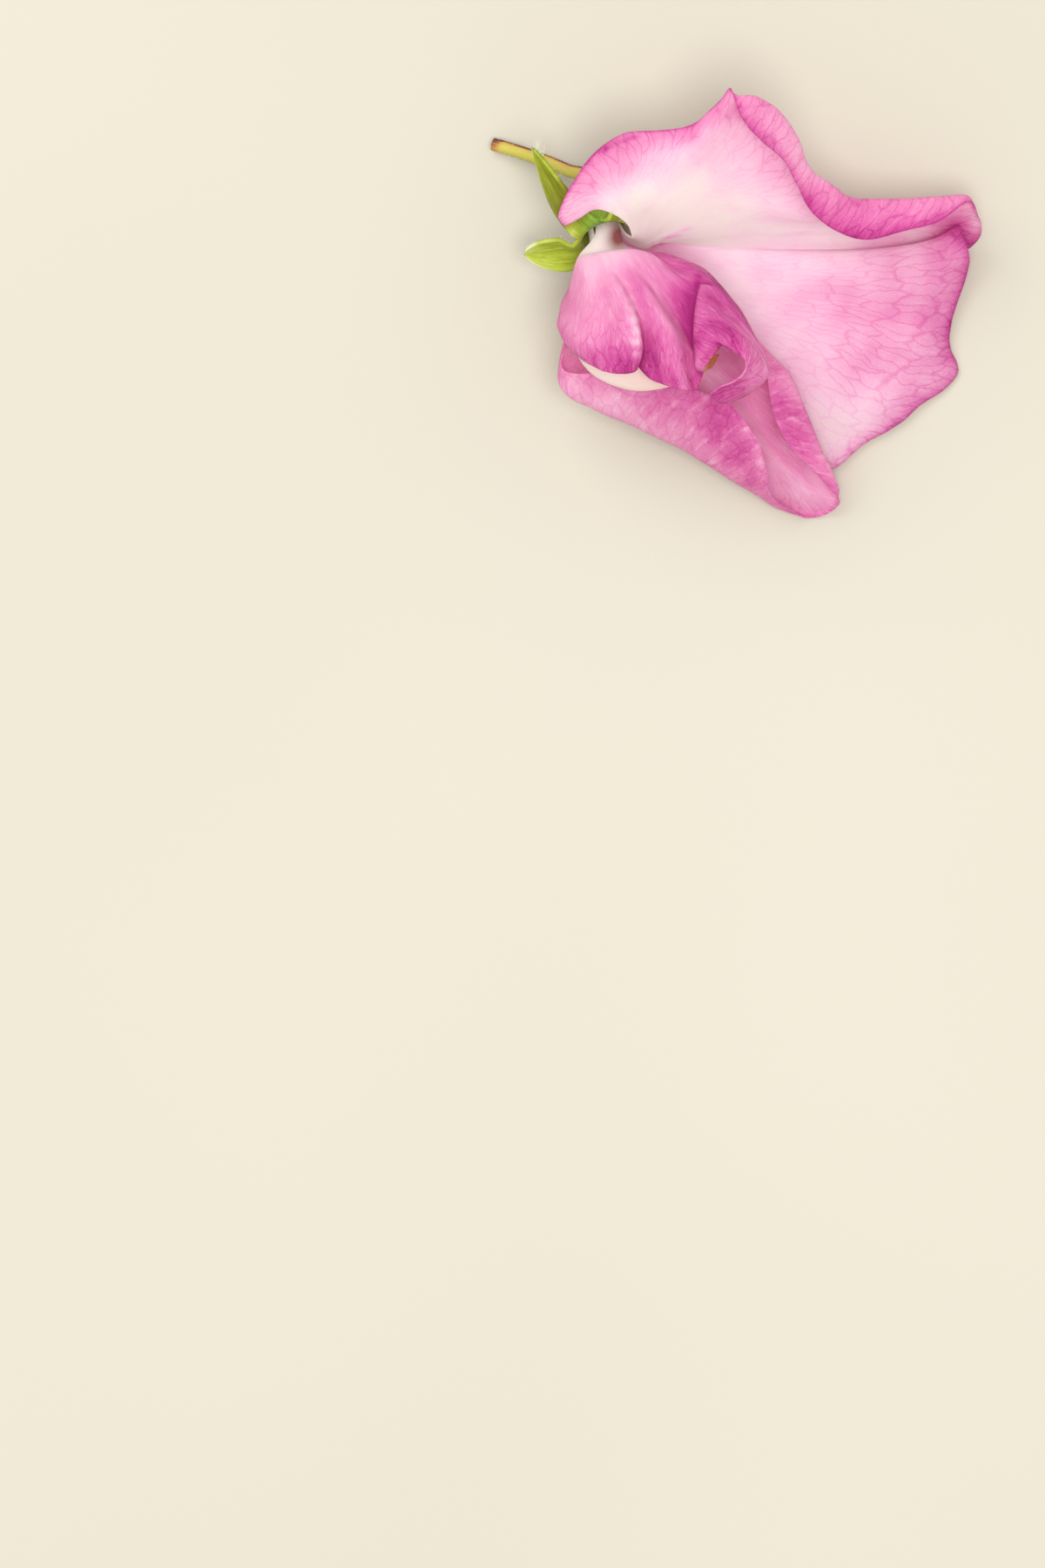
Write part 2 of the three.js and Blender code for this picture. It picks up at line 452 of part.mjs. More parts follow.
// The calyx: a cup whose mouth runs out into five sepals, each bent back by its own amount
function calyxGeometry() {
  const perSepal = 6;
  const around = SEPAL_COUNT * perSepal;
  const profile = [[-7.1, 0.9], [-6.7, 1.9], [-5.8, 2.6], [-4.3, 2.85], [-2.2, 2.95], [0, CALYX_RADIUS]];
  const halfSepal = 180 / SEPAL_COUNT;
  const firstAngle = FIRST_SEPAL_ANGLE - halfSepal;
  const points = [tubePoint(0, 0, -CALYX_DEPTH)];
  const faces = [];
  profile.forEach(([depth, radius], ring) => {
    for (let k = 0; k < around; k += 1) {
      points.push(tubePoint(firstAngle + (360 * k) / around, radius, depth));
      const next = (k + 1) % around;
      const here = 1 + ring * around;
      if (ring === 0) {
        faces.push([0, here + next, here + k]);
      } else {
        const below = here - around;
        faces.push([below + k, below + next, here + next], [below + k, here + next, here + k]);
      }
    }
  });
  const rim = 1 + (profile.length - 1) * around;
  SEPALS.forEach((sepal, index) => {
    const angle = FIRST_SEPAL_ANGLE + (360 * index) / SEPAL_COUNT;
    const rows = 6;
    const outward = tubePoint(angle, 1, 0).sub(MOUTH);
    const sideways = tubePoint(angle + 90, 1, 0).sub(MOUTH);
    let middle = tubePoint(angle, CALYX_RADIUS, 0);
    let below = Array.from({ length: perSepal + 1 }, (_, k) => rim + ((index * perSepal + k) % around));
    for (let row = 1; row <= rows; row += 1) {
      const share = row / rows;
      const bend = THREE.MathUtils.smoothstep(share, 0, sepal.bendShare);
      const turn = THREE.MathUtils.degToRad(THREE.MathUtils.lerp(sepal.start, sepal.reflex, bend));
      const heading = FORWARD.clone().multiplyScalar(Math.cos(turn));
      heading.addScaledVector(outward, Math.sin(turn));
      const inward = FORWARD.clone().multiplyScalar(Math.sin(turn));
      inward.addScaledVector(outward, -Math.cos(turn));
      middle = middle.clone().addScaledVector(heading, sepal.length / rows);
      if (row === rows) {
        points.push(middle);
        const tip = points.length - 1;
        for (let k = 0; k < perSepal; k += 1) faces.push([below[k], below[k + 1], tip]);
        break;
      }
      const width = (1 - share) ** sepal.taper * (1 + sepal.swell * share);
      const roll = THREE.MathUtils.degToRad(sepal.twist * bend);
      const breadth = sideways.clone().multiplyScalar(Math.cos(roll)).addScaledVector(inward, Math.sin(roll));
      const face = inward.clone().multiplyScalar(Math.cos(roll)).addScaledVector(sideways, -Math.sin(roll));
      const here = [];
      for (let k = 0; k <= perSepal; k += 1) {
        const spread = THREE.MathUtils.degToRad(halfSepal * ((2 * k) / perSepal - 1));
        const lateral = CALYX_RADIUS * Math.sin(spread) * width;
        const sag = CALYX_RADIUS * (1 - Math.cos(spread)) * width;
        points.push(middle.clone().addScaledVector(breadth, lateral).addScaledVector(face, sag));
        here.push(points.length - 1);
      }
      for (let k = 0; k < perSepal; k += 1) {
        faces.push([below[k], below[k + 1], here[k + 1]], [below[k], here[k + 1], here[k]]);
      }
      below = here;
    }
  });
  return thicken({ points, faces }, CALYX_THICKNESS);
}

// The keel: a pouch folded round its outer edge, with its slit along the inner edge
function keelGeometry() {
  const claw = (radius, depth, reach) => [
    tubePoint(180, radius, depth).toArray(),
    tubePoint(0, radius, depth).toArray(),
    radius,
    reach,
  ];
  const sections = [
    claw(KEEL_CLAW_RADIUS * CLAW_BASE_SHARE, CLAW_BASE_DEPTH, KEEL_CLAW_REACH[0]),
    claw(KEEL_CLAW_RADIUS, CLAW_EXIT_DEPTH, KEEL_CLAW_REACH[1]),
    ...KEEL_SECTIONS,
  ];
  const knots = sections.map((_, i) => i);
  const values = sections.map(([outer, inner, width, reach]) => [...outer, ...inner, width, reach]);
  const around = 12;
  const columns = [];
  for (let at = 0; at <= sections.length - 1; at += 0.5) {
    const section = smoothAt(knots, values, at);
    const outer = vector(section.slice(0, 3));
    const inner = vector(section.slice(3, 6));
    const [width, reach] = section.slice(6);
    columns.push(Array.from({ length: around + 1 }, (_, k) => {
      const turn = THREE.MathUtils.degToRad(reach * ((2 * k) / around - 1));
      return inner.clone()
        .lerp(outer, 0.5 + 0.5 * Math.cos(turn))
        .addScaledVector(UPPER_SIDE, width * Math.sin(turn));
    }));
  }
  return thicken(sheetOf(columns), PETAL_THICKNESS);
}

// The line of the stamens and pistil, from the foot of the calyx into the keel
function columnLine() {
  const foot = tubePoint(0, 0, COLUMN_BASE_DEPTH).toArray();
  const inTube = tubePoint(0, 0, COLUMN_BASE_DEPTH / 3).toArray();
  return [foot, inTube, ...COLUMN_PATH];
}

// Directions at a point of that line: onwards, to the keel's outer edge, and across
function frameAt(line, i) {
  const ahead = line[Math.min(i + 1, line.length - 1)];
  const along = ahead.clone().sub(line[Math.max(i - 1, 0)]).normalize();
  const outer = new THREE.Vector3().crossVectors(along, UPPER_SIDE).normalize();
  const upper = new THREE.Vector3().crossVectors(along, outer);
  return { along, outer, upper };
}

// Nine stamens: an open sheath round the pistil that parts into filaments tipped with anthers
function stamensGeometry(solids) {
  const steps = new Array(COLUMN_PATH.length + 1).fill(2);
  const line = alongRib(columnLine(), steps);
  const around = 8;
  const opening = 140; // degrees either side of the keel's outer edge that the sheath covers
  const columns = line.map((centre, i) => {
    const { outer, upper } = frameAt(line, i);
    return Array.from({ length: around + 1 }, (_, k) => {
      const turn = THREE.MathUtils.degToRad(opening * ((2 * k) / around - 1));
      return centre.clone()
        .addScaledVector(outer, SHEATH_RADIUS * Math.cos(turn))
        .addScaledVector(upper, SHEATH_RADIUS * Math.sin(turn));
    });
  });
  let joined = solids.of(thicken(sheetOf(columns), SHEATH_THICKNESS));
  const end = line.length - 1;
  const { along, outer, upper } = frameAt(line, end);
  for (let k = 0; k < FILAMENT_COUNT; k += 1) {
    const turn = THREE.MathUtils.degToRad(opening * 0.92 * ((2 * k) / (FILAMENT_COUNT - 1) - 1));
    const ray = outer.clone().multiplyScalar(Math.cos(turn)).addScaledVector(upper, Math.sin(turn));
    const root = line[end].clone().addScaledVector(along, -0.6).addScaledVector(ray, SHEATH_RADIUS);
    const reach = 1.2 + 0.35 * ((k * 5) % 3);
    const tip = line[end].clone().addScaledVector(along, reach).addScaledVector(ray, SHEATH_RADIUS * 0.95);
    const filament = rod([root.toArray(), tip.toArray()], [FILAMENT_RADIUS, FILAMENT_RADIUS * 0.8], 5, 1);
    const anther = new THREE.IcosahedronGeometry(ANTHER_RADIUS, 0);
    anther.translate(tip.x, tip.y, tip.z);
    joined = joined.add(solids.of(filament)).add(solids.of(anther));
  }
  return solids.geometry(joined);
}

// Joins closed geometries into one solid, and gives its surface back
async function solidMaker() {
  const wasm = await Module();
  wasm.setup();
  const of = (geometry) => {
    const merged = mergePositions(geometry);
    return new wasm.Manifold(new wasm.Mesh({ numProp: 3, ...merged }));
  };
  const geometry = (solid) => {
    const mesh = solid.getMesh();
    const out = new THREE.BufferGeometry();
    out.setAttribute("position", new THREE.BufferAttribute(new Float32Array(mesh.vertProperties), 3));
    out.setIndex([...mesh.triVerts]);
    out.computeVertexNormals();
    return out;
  };
  return { of, geometry };
}

function mergePositions(geometry) {
  const source = geometry.index ? geometry.toNonIndexed() : geometry;
  const position = source.getAttribute("position");
  const seen = new Map();
  const vertProperties = [];
  const triVerts = [];
  for (let i = 0; i < position.count; i += 1) {
    const p = new THREE.Vector3().fromBufferAttribute(position, i).toArray();
    const key = p.map((v) => Math.round(v * 1e4)).join(",");
    if (!seen.has(key)) {
      seen.set(key, seen.size);
      vertProperties.push(...p);
    }
    triVerts.push(seen.get(key));
  }
  return { vertProperties: new Float32Array(vertProperties), triVerts: new Uint32Array(triVerts) };
}

function petalGeometry(petal) {
  return thicken(petalSheet(petal), PETAL_THICKNESS);
}

function stalkGeometry() {
  const topDepth = -CALYX_DEPTH - CALYX_THICKNESS / 2 - SEAT_GAP;
  const neck = tubePoint(0, 0, topDepth - 1.2).toArray();
  const top = tubePoint(0, 0, topDepth).toArray();
  const radii = [...STALK_PATH.map(() => STALK_RADIUS), STALK_NECK_RADIUS, STALK_TOP_RADIUS];
  return rod([...STALK_PATH, neck, top], radii, 8, 2);
}

function pistilGeometry() {
  const path = [...columnLine(), ...STYLE_TIP];
  return rod(path, path.map(() => PISTIL_RADIUS), 6, 2);
}

// The tenth stamen lies free in the sheath's opening
function freeStamenGeometry() {
  const line = columnLine().map(vector);
  const path = line.map((centre, i) => {
    return centre.clone().addScaledVector(frameAt(line, i).outer, -FREE_STAMEN_OFFSET).toArray();
  });
  return rod(path, path.map(() => FILAMENT_RADIUS * 0.8), 5, 2);
}

function part(name, geometry, color, roughness) {
  const material = new THREE.MeshStandardMaterial({ color, roughness, metalness: 0 });
  const mesh = new THREE.Mesh(geometry, material);
  mesh.name = name;
  return mesh;
}

const solids = await solidMaker();
const flower = new THREE.Group();
flower.add(
  part("stalk", stalkGeometry(), COLORS.stalk, 0.6),
  part("calyx", calyxGeometry(), COLORS.calyx, 0.6),
  part("standard", petalGeometry(STANDARD), COLORS.standard, 0.7),
  part("wing_upper", petalGeometry(WING_UPPER), COLORS.wing, 0.7),
  part("wing_lower", petalGeometry(WING_LOWER), COLORS.wing, 0.7),
  part("keel", keelGeometry(), COLORS.keel, 0.65),
  part("stamens", stamensGeometry(solids), COLORS.stamens, 0.6),
  part("free_stamen", freeStamenGeometry(), COLORS.stamens, 0.6),
  part("pistil", pistilGeometry(), COLORS.pistil, 0.6),
);
flower.position.copy(ORIGIN).negate();

export default flower;
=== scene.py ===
"""The looks of one picked sweet pea bloom, lying on its side and seen from straight above.

Each petal is a thin sheet lofted through given rows of points. A row crosses the petal from its
first rib to its last, and the ribs run out of the calyx to the margin like veins. The drawing is in
millimetres; ORIGIN is the point of the drawing that becomes the frame's origin.
"""

import math

import bpy
import numpy as np
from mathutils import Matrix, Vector


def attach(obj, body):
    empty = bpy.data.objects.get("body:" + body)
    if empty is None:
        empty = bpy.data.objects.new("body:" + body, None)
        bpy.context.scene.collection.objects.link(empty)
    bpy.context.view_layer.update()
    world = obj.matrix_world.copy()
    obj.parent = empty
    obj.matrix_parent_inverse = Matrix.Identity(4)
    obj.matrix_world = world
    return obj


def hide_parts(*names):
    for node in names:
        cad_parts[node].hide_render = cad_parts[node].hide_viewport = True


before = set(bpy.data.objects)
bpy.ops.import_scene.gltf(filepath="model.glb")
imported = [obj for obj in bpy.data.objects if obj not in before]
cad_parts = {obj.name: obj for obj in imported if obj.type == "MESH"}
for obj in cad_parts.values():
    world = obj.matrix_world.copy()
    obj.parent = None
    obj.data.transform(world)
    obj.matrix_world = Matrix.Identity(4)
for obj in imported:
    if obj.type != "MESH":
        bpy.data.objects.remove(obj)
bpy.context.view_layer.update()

MM = 0.001
ORIGIN = np.array([-1.394, -0.832, 0.071])
RANDOM = np.random.default_rng(11)

PETAL_THICKNESS = 0.28
MARGIN_THICKNESS = 0.14
MARGIN_WIDTH = 1.2
RIB_WIDTH = 1.2
RUFFLE_START = 0.72
RUFFLE_RATES = [1.7, 2.9, 4.3, 6.1, 8.7, 12]
RUFFLE_SHARES = [1, 0.9, 0.8, 0.5, 0.4, 0.3]
FOLD_DEPTH = 0.12
CALYX_THICKNESS = 0.5
CALYX_RADIUS = 3.0
CALYX_DEPTH = 7.2
CUP_PROFILE = [[-7.1, 0.9], [-6.7, 1.9], [-5.8, 2.6], [-4.3, 2.85], [-2.2, 2.95], [0, CALYX_RADIUS]]
FIRST_SEPAL_ANGLE = 133
DEGREES_PER_RIB = 20
SEPAL_COLUMNS = 24
SEPAL_ROWS = 22
STALK_RADIUS = 0.72
STALK_NECK_RADIUS = 0.85
STALK_TOP_RADIUS = 1.1
STALK_GAP = 0.03
STALK_RED_SIDE = np.array([0.2, 0.97, 0.1])
CLAW_BASE_DEPTH = -5.4
CLAW_EXIT_DEPTH = 0.4
CLAW_BASE_SHARE = 0.72
FILAMENT_COUNT = 9
FILAMENT_RADIUS = 0.2
ANTHER_RADIUS = 0.33
SHEATH_THICKNESS = 0.25
SHEATH_RADIUS = 0.68
SHEATH_OPENING = 140
FREE_STAMEN_OFFSET = 0.8
PISTIL_RADIUS = 0.23
COLUMN_BASE_DEPTH = -6.3
KEEL_THICKNESS = 0.3
KEEL_CLAW_RADIUS = 1.75
KEEL_CLAW_REACH = [34, 38]
KEEL_RIBS = 12
KEEL_COLUMNS = 41
KEEL_STEPS = 8
HAIR_RADIUS = 0.022
TUFT_DEPTH = 1.1

# The calyx tube: the middle of its mouth, its axis, the side of the standard and the upper side
MOUTH = np.array([-15.7, 6.44, 10.34])
FORWARD = np.array([0.25, -0.78, 0.57])
STANDARD_SIDE = np.array([0.968, 0.2014, -0.147])
UPPER_SIDE = np.array([0, 0.589, 0.805])

# Each petal's rows of points, [rib, x, y, z], and its claw's place round the calyx tube, in degrees by rib
STANDARD_ROWS = [
    [
        [0, -12.9, 6.4, 12.4], [4, -12.4, 6.4, 12.2], [9, -12, 6.2, 11.6], [14, -11.7, 5.9, 10.7],
        [19, -11.6, 5.5, 9.7], [21, -11.6, 5.3, 8.9], [22, -11.7, 5.1, 8.5], [24, -11.8, 4.4, 7.8],
        [28, -12.5, 3.5, 6.6], [32, -13.7, 2.8, 5.7], [36, -15.1, 2.7, 5.6],
    ], [
        [0, -13.3, 7.7, 13.4], [3, -13, 8.6, 13.5], [6, -11.9, 9.1, 13.4], [9, -10.4, 8.9, 12.9],
        [12, -9.2, 8.1, 11.9], [15, -8.8, 7.3, 11], [18, -9, 6.5, 10.2], [20, -9.4, 6.05, 9.2],
        [21, -9.7, 5.9, 7.9], [22, -9.9, 5.5, 7.4], [24, -10.3, 4.3, 6.8], [27, -11, 2.4, 5.7],
        [30, -12, 0.8, 4.8], [33, -13.9, 1.2, 4.4], [36, -15.8, 2.6, 4.8],
    ], [
        [0, -15, 8.9, 13.9], [2, -15.6, 10.9, 14.2], [4, -13.4, 12, 14.6], [6, -10, 12, 14.6],
        [9, -6.4, 12.4, 14.2], [12, -3.5, 10.6, 11.8], [15, -2.2, 8.6, 9.6], [18, -2.5, 6.9, 7.8],
        [20, -3, 6.2, 7], [21, -3.4, 5.5, 6.2], [22, -3.6, 5, 6.4], [24, -4, 2.6, 5.8],
        [27, -5, -1, 4.4], [30, -7.5, -4, 3.2], [33, -11.5, -3.2, 3], [36, -16.2, 2.4, 4.2],
    ], [
        [0, -16.9, 9.35, 14.4], [1, -17.6, 10.4, 14.7], [2, -17.2, 11.9, 14.9], [3, -15.4, 13.6, 15.8],
        [4, -12.6, 15.2, 16.6], [6, -7.6, 16, 17.4], [8, -3.2, 18.6, 19.2], [9, -1.4, 18.3, 18],
        [10, 0.5, 17, 16.2], [12, 3.6, 11.8, 11.6], [14, 6.8, 8.9, 9.2], [16, 11.5, 8.3, 7.4],
        [18, 16.5, 8.3, 5.9], [20, 13.8, 6.5, 4], [21, 11.8, 5.2, 3.2], [22, 10.9, 4.85, 4.8],
        [23, 10.9, 3.4, 5.4], [25, 10.5, -0.5, 4.6], [27, 9.5, -4.6, 4], [29, 5.5, -9, 3.2],
        [31, -1, -11.5, 2.2], [33, -9, -8.3, 1.8], [35, -15.3, -2.5, 2], [36, -16.6, 1, 3.2],
    ], [
        [0, -18.6, 8.4, 14.5], [1, -19.3, 9.6, 14.9], [2, -18.5, 12, 15.3], [3, -16.4, 14.8, 16.3],
        [4, -13.4, 16.8, 17.4], [5, -9.8, 17.2, 17.5], [6, -6.6, 17.8, 18.4], [7, -3.7, 20.2, 20.2],
        [8, -1.9, 21.4, 21.4], [9, 0.4, 21.4, 21.2], [10, 3, 20, 19.8], [11, 5.2, 17, 17.9],
        [12, 6.35, 14, 15.8], [13, 8.6, 12.2, 14], [14, 11, 10.6, 12.6], [15, 14.5, 10.4, 11.3],
        [16, 18.7, 10.5, 10.2], [17, 22, 10.8, 9], [18, 23.9, 10.8, 7.2], [19, 24, 9, 4.4],
        [20, 22.6, 6.9, 2.2], [21, 20.4, 5.2, 1.3], [21.5, 20.3, 5.6, 3.1], [22, 20.2, 6.3, 4.5],
        [22.5, 20.4, 5.4, 4.8], [23, 20.6, 3.9, 4.6], [24, 20.2, 1.2, 3.9], [25, 19, -2.2, 3.1],
        [26, 18.8, -5.6, 2.9], [27, 17.6, -8.2, 2.4], [28, 14.2, -11.6, 2.4], [29, 10.2, -13.6, 2.2],
        [30, 6, -15.2, 1.8], [31, 1.2, -15.8, 1.4], [32, -5.2, -12.8, 1.1], [33, -12, -8.6, 1],
        [34, -16, -4.4, 1.2], [35, -16.9, -1, 1.6], [36, -16.9, 0.6, 2.6],
    ], [
        [0, -20.2, 7.5, 14.6], [1, -20.9, 8.8, 15], [2, -19.5, 11.9, 15.6], [3, -17, 15.4, 16.6],
        [4, -13.8, 17.6, 17.8], [5, -10, 17.9, 17.6], [6, -6.2, 18.6, 18.6], [7, -3.2, 21.2, 20.6],
        [8, -2, 22.4, 22], [9, -1, 19.2, 21.9], [10, 1.2, 16.7, 20.8], [11, 3.7, 14.6, 18.8],
        [12, 5.3, 11.7, 16.6], [13, 7, 8.8, 14.8], [14, 9.5, 7, 13.6], [15, 12.8, 6.1, 12.4],
        [16, 16.6, 7, 11.4], [17, 20.6, 8.1, 10.4], [18, 24, 10.3, 8.4], [19, 25.2, 8.7, 4.6],
        [20, 25.3, 6.6, 1.7], [20.5, 24.4, 5.5, 0.7], [21, 23.3, 5.1, 0.6], [21.5, 22.8, 6.1, 2.5],
        [22, 22.95, 7.9, 4.9], [22.5, 23.4, 6.7, 5.3], [23, 24.05, 4.9, 4.7], [24, 23.7, 1.9, 2.7],
        [25, 22.3, -2.4, 1.5], [26, 22, -5.6, 0.8], [26.6, 22.9, -7.3, 0.5], [27, 22.8, -8.5, 0.4],
        [27.5, 21.1, -10.3, 0.6], [28, 18.8, -11.8, 1], [28.5, 16.9, -13.6, 1.1], [29, 14.9, -14.8, 0.9],
        [29.5, 12.4, -16.2, 0.9], [30, 9.6, -18.6, 0.8], [31, 3, -18.6, 0.6], [32, -5.4, -14.8, 0.5],
        [33, -12.8, -10.3, 0.4], [34, -17.4, -5.6, 0.6], [35, -18.2, -1.6, 1], [36, -17.4, 0.4, 2],
    ],
]
STANDARD = {"claw_radius": 2.1, "claw_angles": [[0, 20], [21, -8], [36, -58]], "rows": STANDARD_ROWS}

WING_UPPER_ROWS = [
    [
        [0, -18.5, 4.5, 12.7], [5, -18, 4.4, 13.4], [10, -17.3, 4.3, 13.8], [15, -16.5, 4.4, 13.9],
        [22, -15.1, 4.9, 13.9], [31, -14, 6.1, 12.4],
    ], [
        [0, -18.9, 3.6, 12.9], [3, -18.6, 3.9, 14], [6, -17.4, 4.3, 14.8], [9, -16, 4.6, 15.2],
        [12, -14.6, 4.8, 15.4], [15, -13.3, 4.9, 15.5], [18, -12.1, 4.8, 15.6], [22, -10.8, 4.4, 15.6],
        [25, -10.2, 4, 15.3], [28, -11.2, 4.1, 14.2], [29, -12.3, 4.5, 13.5], [30, -13.2, 5.1, 12.8],
        [31, -13.8, 5.7, 12.3],
    ], [
        [0, -19.4, 1.9, 12.9], [2, -19.2, 1.6, 14.6], [4, -18, 2.2, 16], [6, -16.8, 2.7, 16.5],
        [8, -15.7, 3, 16.7], [10, -14.7, 3.2, 16.7], [13, -13, 3.2, 17], [16, -11.3, 3, 17.2],
        [20, -9.6, 2.7, 17.2], [24, -8.2, 2.3, 16.9], [28, -8.6, 3, 15.6], [29, -10.3, 3.9, 14.4],
        [30, -12.2, 4.85, 13.1], [31, -13.5, 5.4, 12.3],
    ], [
        [0, -19.7, 0.9, 12.6], [2, -19.6, -0.9, 15.4], [4, -18.2, -1.9, 17.8], [6, -15.8, -2.2, 19.2],
        [8, -13.3, -1.2, 20], [9, -12.7, -1.2, 18.9], [10, -12.1, -1.6, 19.2], [12, -9.6, -2.6, 20.2],
        [13, -8.5, -3.8, 20.2], [14, -7.2, -5.4, 19.4], [15, -6.4, -6.2, 18.9], [17, -6.2, -4.9, 18.7],
        [20, -6.1, -1.6, 18.3], [24, -5.75, 0.9, 17.4], [28, -5.9, 2, 16.7], [29, -8, 3.4, 15.3],
        [30, -11, 4.6, 13.6], [31, -13.1, 5.15, 12.3],
    ], [
        [0, -20.6, -1, 13.2], [2, -20.5, -3.2, 15.9], [4, -18.8, -4.6, 18.6], [6, -15.8, -5.2, 20.2],
        [8, -12.3, -4, 21.2], [9, -12, -3.8, 19.4], [10, -11.3, -4.6, 19.6], [12, -9, -6.4, 20.8],
        [13, -7.7, -7.4, 20.6], [14, -6.7, -8.2, 19.4], [15, -6.1, -7.9, 19.1], [16, -5.9, -7, 19.9],
        [17, -6, -5.3, 20.3], [20, -5.7, -1.9, 19.9], [24, -5.1, 0.7, 18.4], [28, -4.4, 1.5, 17.1],
        [29, -6.4, 3.1, 15.4], [30, -10, 4.5, 13.5], [31, -12.8, 5, 12.2],
    ], [
        [0, -20.7, -1.8, 13.4], [1, -20.9, -3, 14.4], [2, -20.5, -4.4, 15.8], [3, -19.7, -5.5, 17.1],
        [4, -18.4, -6.3, 18.6], [6, -15.3, -7.2, 20.1], [8, -11.9, -6.2, 21], [9, -11.9, -5.8, 19.4],
        [10, -11, -7.2, 19.5], [12, -8.6, -8.8, 20.4], [13, -7.2, -9.2, 20.2], [14, -6.4, -9.4, 18.8],
        [15, -5.7, -8.5, 18.9], [16, -5.8, -7.8, 20.4], [17, -5.3, -6.2, 20.8], [18, -4.6, -4.9, 21],
        [19, -3, -4.3, 20.6], [20, -1, -4.6, 20], [21, 0.5, -6.2, 19.8], [22, 1.3, -7.6, 19.6],
        [23, 1.8, -8.4, 19.2], [24, 2, -8.5, 18.7], [25, 1.9, -7.9, 18.2], [26, 1.4, -6.5, 17.5],
        [27, 0.4, -4.4, 16.9], [28, -1.7, -0.9, 16], [29, -5, 2.7, 14.7], [30, -9.2, 4.5, 13.1],
        [31, -12.2, 4.8, 11.9],
    ], [
        [0, -20.2, -1.2, 12.2], [1, -20.4, -2.6, 13], [2, -20.2, -4.2, 14.6], [3, -19.4, -5.9, 16.4],
        [4, -18.1, -7.2, 18.2], [5, -16.6, -8.1, 19.4], [6, -14.8, -8.6, 20], [7, -13.2, -8.6, 20.4],
        [8, -12.3, -8.2, 20.4], [9, -12.6, -7.4, 19], [10, -11, -9.1, 19.4], [11, -9.5, -9.8, 19.9],
        [12, -8.1, -10.2, 20], [13, -6.7, -10.4, 19.6], [14, -6, -10.4, 18.6], [15, -5.2, -8.9, 18.7],
        [16, -5, -8.1, 20.4], [17, -4, -6.6, 20.6], [18, -3.1, -5.6, 20.6], [19, -1.8, -6.2, 21.2],
        [20, -0.5, -7.2, 21.9], [21, -0.9, -8.8, 22.2], [22, -2.5, -9.9, 22.2], [23, -4.3, -10.9, 21.4],
        [24, -2.9, -11.9, 19.9], [25, 0.2, -10.4, 17.8], [26, 1.3, -8, 16.2], [27, 0.2, -5, 14.8],
        [28, -2, -1.2, 14], [29, -5, 2.3, 12.9], [30, -8.8, 4.2, 11.9], [31, -11.7, 4.6, 11.5],
    ],
]
WING_UPPER = {"claw_radius": 1.95, "claw_angles": [[0, 129], [31, 40]], "rows": WING_UPPER_ROWS}

WING_LOWER_ROWS = [
    [
        [0, -14.5, 4, 8.6], [11, -15.4, 3.8, 8.5], [22, -16.8, 4, 8.4],
    ], [
        [0, -13.2, 3.2, 8.1], [4, -10.5, 0.4, 7.4], [8, -8.8, -4.2, 6.8], [12, -9.4, -6.4, 6.6],
        [16, -11.8, -6.2, 7], [20, -15.2, -3.2, 7.8], [22, -17, 2.4, 8.2],
    ], [
        [0, -10.8, 2.4, 7.6], [1, -7.4, 0.8, 6.8], [3, -1, -5, 5.6], [5, 2.6, -11.6, 4.8],
        [7, 5.4, -17.6, 3.5], [9, 7, -20.6, 2.4], [11, 4.6, -21.2, 1.9], [13, 0.6, -19, 2.8],
        [15, -3.4, -15.6, 4.1], [17, -8.4, -12.6, 5.4], [19, -14.6, -9.8, 6.8], [20, -17.4, -7.8, 7.4],
        [22, -17.8, 1.5, 8],
    ], [
        [0, -9.6, 2.2, 7.7], [1, -5.4, 0.2, 7.1], [2, -1.2, -2.8, 6.8], [3, 2.6, -6.7, 7.4],
        [4, 4.6, -9, 7.6], [5, 6.2, -12.8, 7], [6, 7.8, -16.6, 6.2], [7, 9, -19.2, 5],
        [8, 9.7, -21, 3.8], [9, 9.4, -22.2, 2.6], [10, 8, -23.2, 0.8], [11, 5.8, -23.4, 0.5],
        [12, 3.2, -22.9, 1.2], [13, 0.7, -21.4, 2.7], [14, -1.6, -20.1, 3.9], [15, -4.5, -18.3, 5.2],
        [16, -7.3, -16.6, 6.4], [17, -10.2, -15.3, 7.5], [18, -13.3, -13.8, 8.4], [19, -16.9, -12.3, 9.2],
        [20, -20.2, -10.4, 9.6], [21, -20.6, -7, 9], [22, -18.4, 0.6, 8.2],
    ], [
        [0, -8.4, 1.8, 8.3], [1, -5, -0.4, 8.1], [2, -2, -3.5, 8.6], [3, 1.4, -7.2, 9.2],
        [4, 2.1, -10.2, 9.4], [5, 2.8, -13.4, 9.2], [6, 4.5, -16.5, 8.4], [7, 7, -19, 6.8],
        [8, 8.9, -21.1, 4.8], [9, 10, -22.4, 3], [10, 8.6, -23.7, 0.9], [11, 6.6, -24.1, 0.6],
        [12, 4.6, -23.3, 3], [13, 2.4, -21.9, 6], [14, 1.9, -19, 8.8], [15, 0.6, -15.4, 10.9],
        [16, -2, -12, 12.3], [17, -5.8, -10.4, 13.2], [18, -10, -9.8, 13.4], [19, -15.5, -8.6, 12.8],
        [20, -20.2, -8.2, 11.4], [21, -20.2, -5.2, 10], [22, -18.8, -0.2, 8.6],
    ],
]
WING_LOWER = {"claw_radius": 1.95, "claw_angles": [[0, -72], [22, -108]], "rows": WING_LOWER_ROWS}

